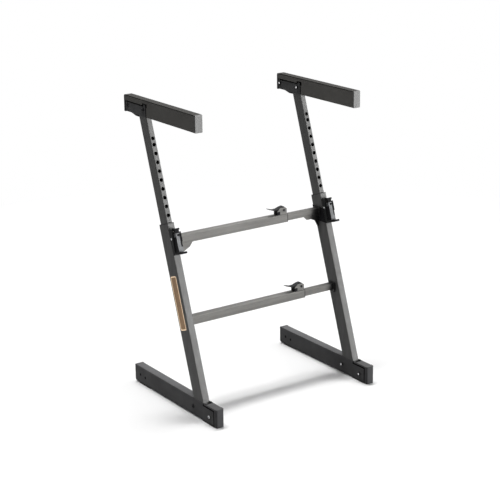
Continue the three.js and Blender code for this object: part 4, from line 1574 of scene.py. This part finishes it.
@dataclass(frozen=True)
class Studio:
    """The camera at the photograph's angle, the lamps and the world. Lamp angles are in degrees."""

    camera_place: Tuple[float, float, float] = (-2.4186, -3.4812, 1.7529)
    yaw: float = 0.606
    pitch: float = 0.302
    roll: float = -0.011
    lens: float = 104.3
    sensor: float = 36.0
    clip_end: float = 60.0
    ambient: float = 0.108
    lamp_distance: float = 3.0
    strip_strength: float = 3.15
    strip_lamps: int = 9
    strip_width: float = 32.0
    strip_lean: float = 13.0
    strip_spread: float = 0.21
    fill_strength: float = 0.6
    fill_way: Tuple[float, float, float] = (0.62, 0.12, 0.78)
    fill_spread: float = 0.9
    front_strength: float = 6.0
    front_azimuth: float = 34.0
    front_elevation: float = 0.5
    front_spread: float = 0.5

    def build(self) -> None:
        """Builds the camera, lamps, world and floor."""
        self.camera()
        self.world()
        self.strip()
        azimuth = math.radians(self.front_azimuth)
        elevation = math.radians(self.front_elevation)
        front_way = Vector((math.sin(azimuth) * math.cos(elevation),
                            -math.cos(azimuth) * math.cos(elevation), math.sin(elevation)))
        self.lamp("front", front_way, self.front_strength, self.front_spread)
        fill_way = Vector(self.fill_way).normalized()
        self.lamp("fill", fill_way, self.fill_strength, self.fill_spread)
        StudioFloor().build()
        bpy.context.scene.view_settings.view_transform = "Standard"

    def camera(self) -> None:
        """Puts the camera where the photograph was taken from."""
        ahead = Vector((math.sin(self.yaw) * math.cos(self.pitch),
                        math.cos(self.yaw) * math.cos(self.pitch), -math.sin(self.pitch)))
        right = ahead.cross(Z_WAY).normalized()
        up = right.cross(ahead)
        turned_right = math.cos(self.roll) * right + math.sin(self.roll) * up
        turned_up = -math.sin(self.roll) * right + math.cos(self.roll) * up
        data = bpy.data.cameras.new("camera")
        data.lens = self.lens
        data.sensor_width = self.sensor
        data.clip_end = self.clip_end
        camera = bpy.data.objects.new("camera", data)
        place = Axes(Vector(self.camera_place), turned_right, turned_up, -ahead)
        camera.matrix_world = place.matrix()
        bpy.context.scene.collection.objects.link(camera)
        bpy.context.scene.camera = camera

    def strip(self) -> None:
        """A soft strip lamp overhead, leaning back a little less than the posts."""
        lean = math.radians(self.strip_lean)
        above = Vector((0, math.sin(lean), math.cos(lean)))
        for index in range(self.strip_lamps):
            turn = math.radians(self.strip_width) * (index / (self.strip_lamps - 1) - 0.5)
            towards = above * math.cos(turn) + X_WAY * math.sin(turn)
            self.lamp(f"strip_{index}", towards, self.strip_strength / self.strip_lamps,
                      self.strip_spread)

    def lamp(self, name: str, towards: Vector, strength: float, spread: float) -> None:
        """Adds a soft far lamp.

        Args:
            name: The lamp's name.
            towards: Direction from the stand to the lamp.
            strength: Its strength.
            spread: Its angular size, in radians.
        """
        data = bpy.data.lights.new(name, "SUN")
        data.energy = strength
        data.angle = spread
        lamp = bpy.data.objects.new(name, data)
        lamp.rotation_euler = towards.to_track_quat("Z", "Y").to_euler()
        lamp.location = towards * self.lamp_distance
        bpy.context.scene.collection.objects.link(lamp)

    def world(self) -> None:
        """White where it is seen or mirrored, and a low even light for the rest."""
        world = bpy.data.worlds.new("studio")
        bpy.context.scene.world = world
        world.use_nodes = True
        world.node_tree.nodes.clear()
        graph = NodeGraph(world.node_tree)
        strength = graph.spread(graph.seen(), self.ambient, 1.0, 0.0, 1.0)
        light = graph.add("ShaderNodeBackground", {"Color": (1, 1, 1, 1), "Strength": strength})
        graph.add("ShaderNodeOutputWorld", {"Surface": light.outputs[0]})


def main() -> None:
    """Builds the studio and each sub-assembly in order, and reports each piece."""
    logging.basicConfig(level=logging.INFO)
    Studio().build()
    assemblies: List[SubAssembly] = []
    for side in Side:
        assemblies += [Foot(side), Post(side), TriggerLatch(side), Arm(side)]
    assemblies += [Crossbar(level) for level in Level]
    for assembly in assemblies:
        for piece in assembly.dress() + assembly.build():
            LOG.info("%s: %s", type(assembly).__name__, piece.name)


if __name__ == "__main__":
    main()
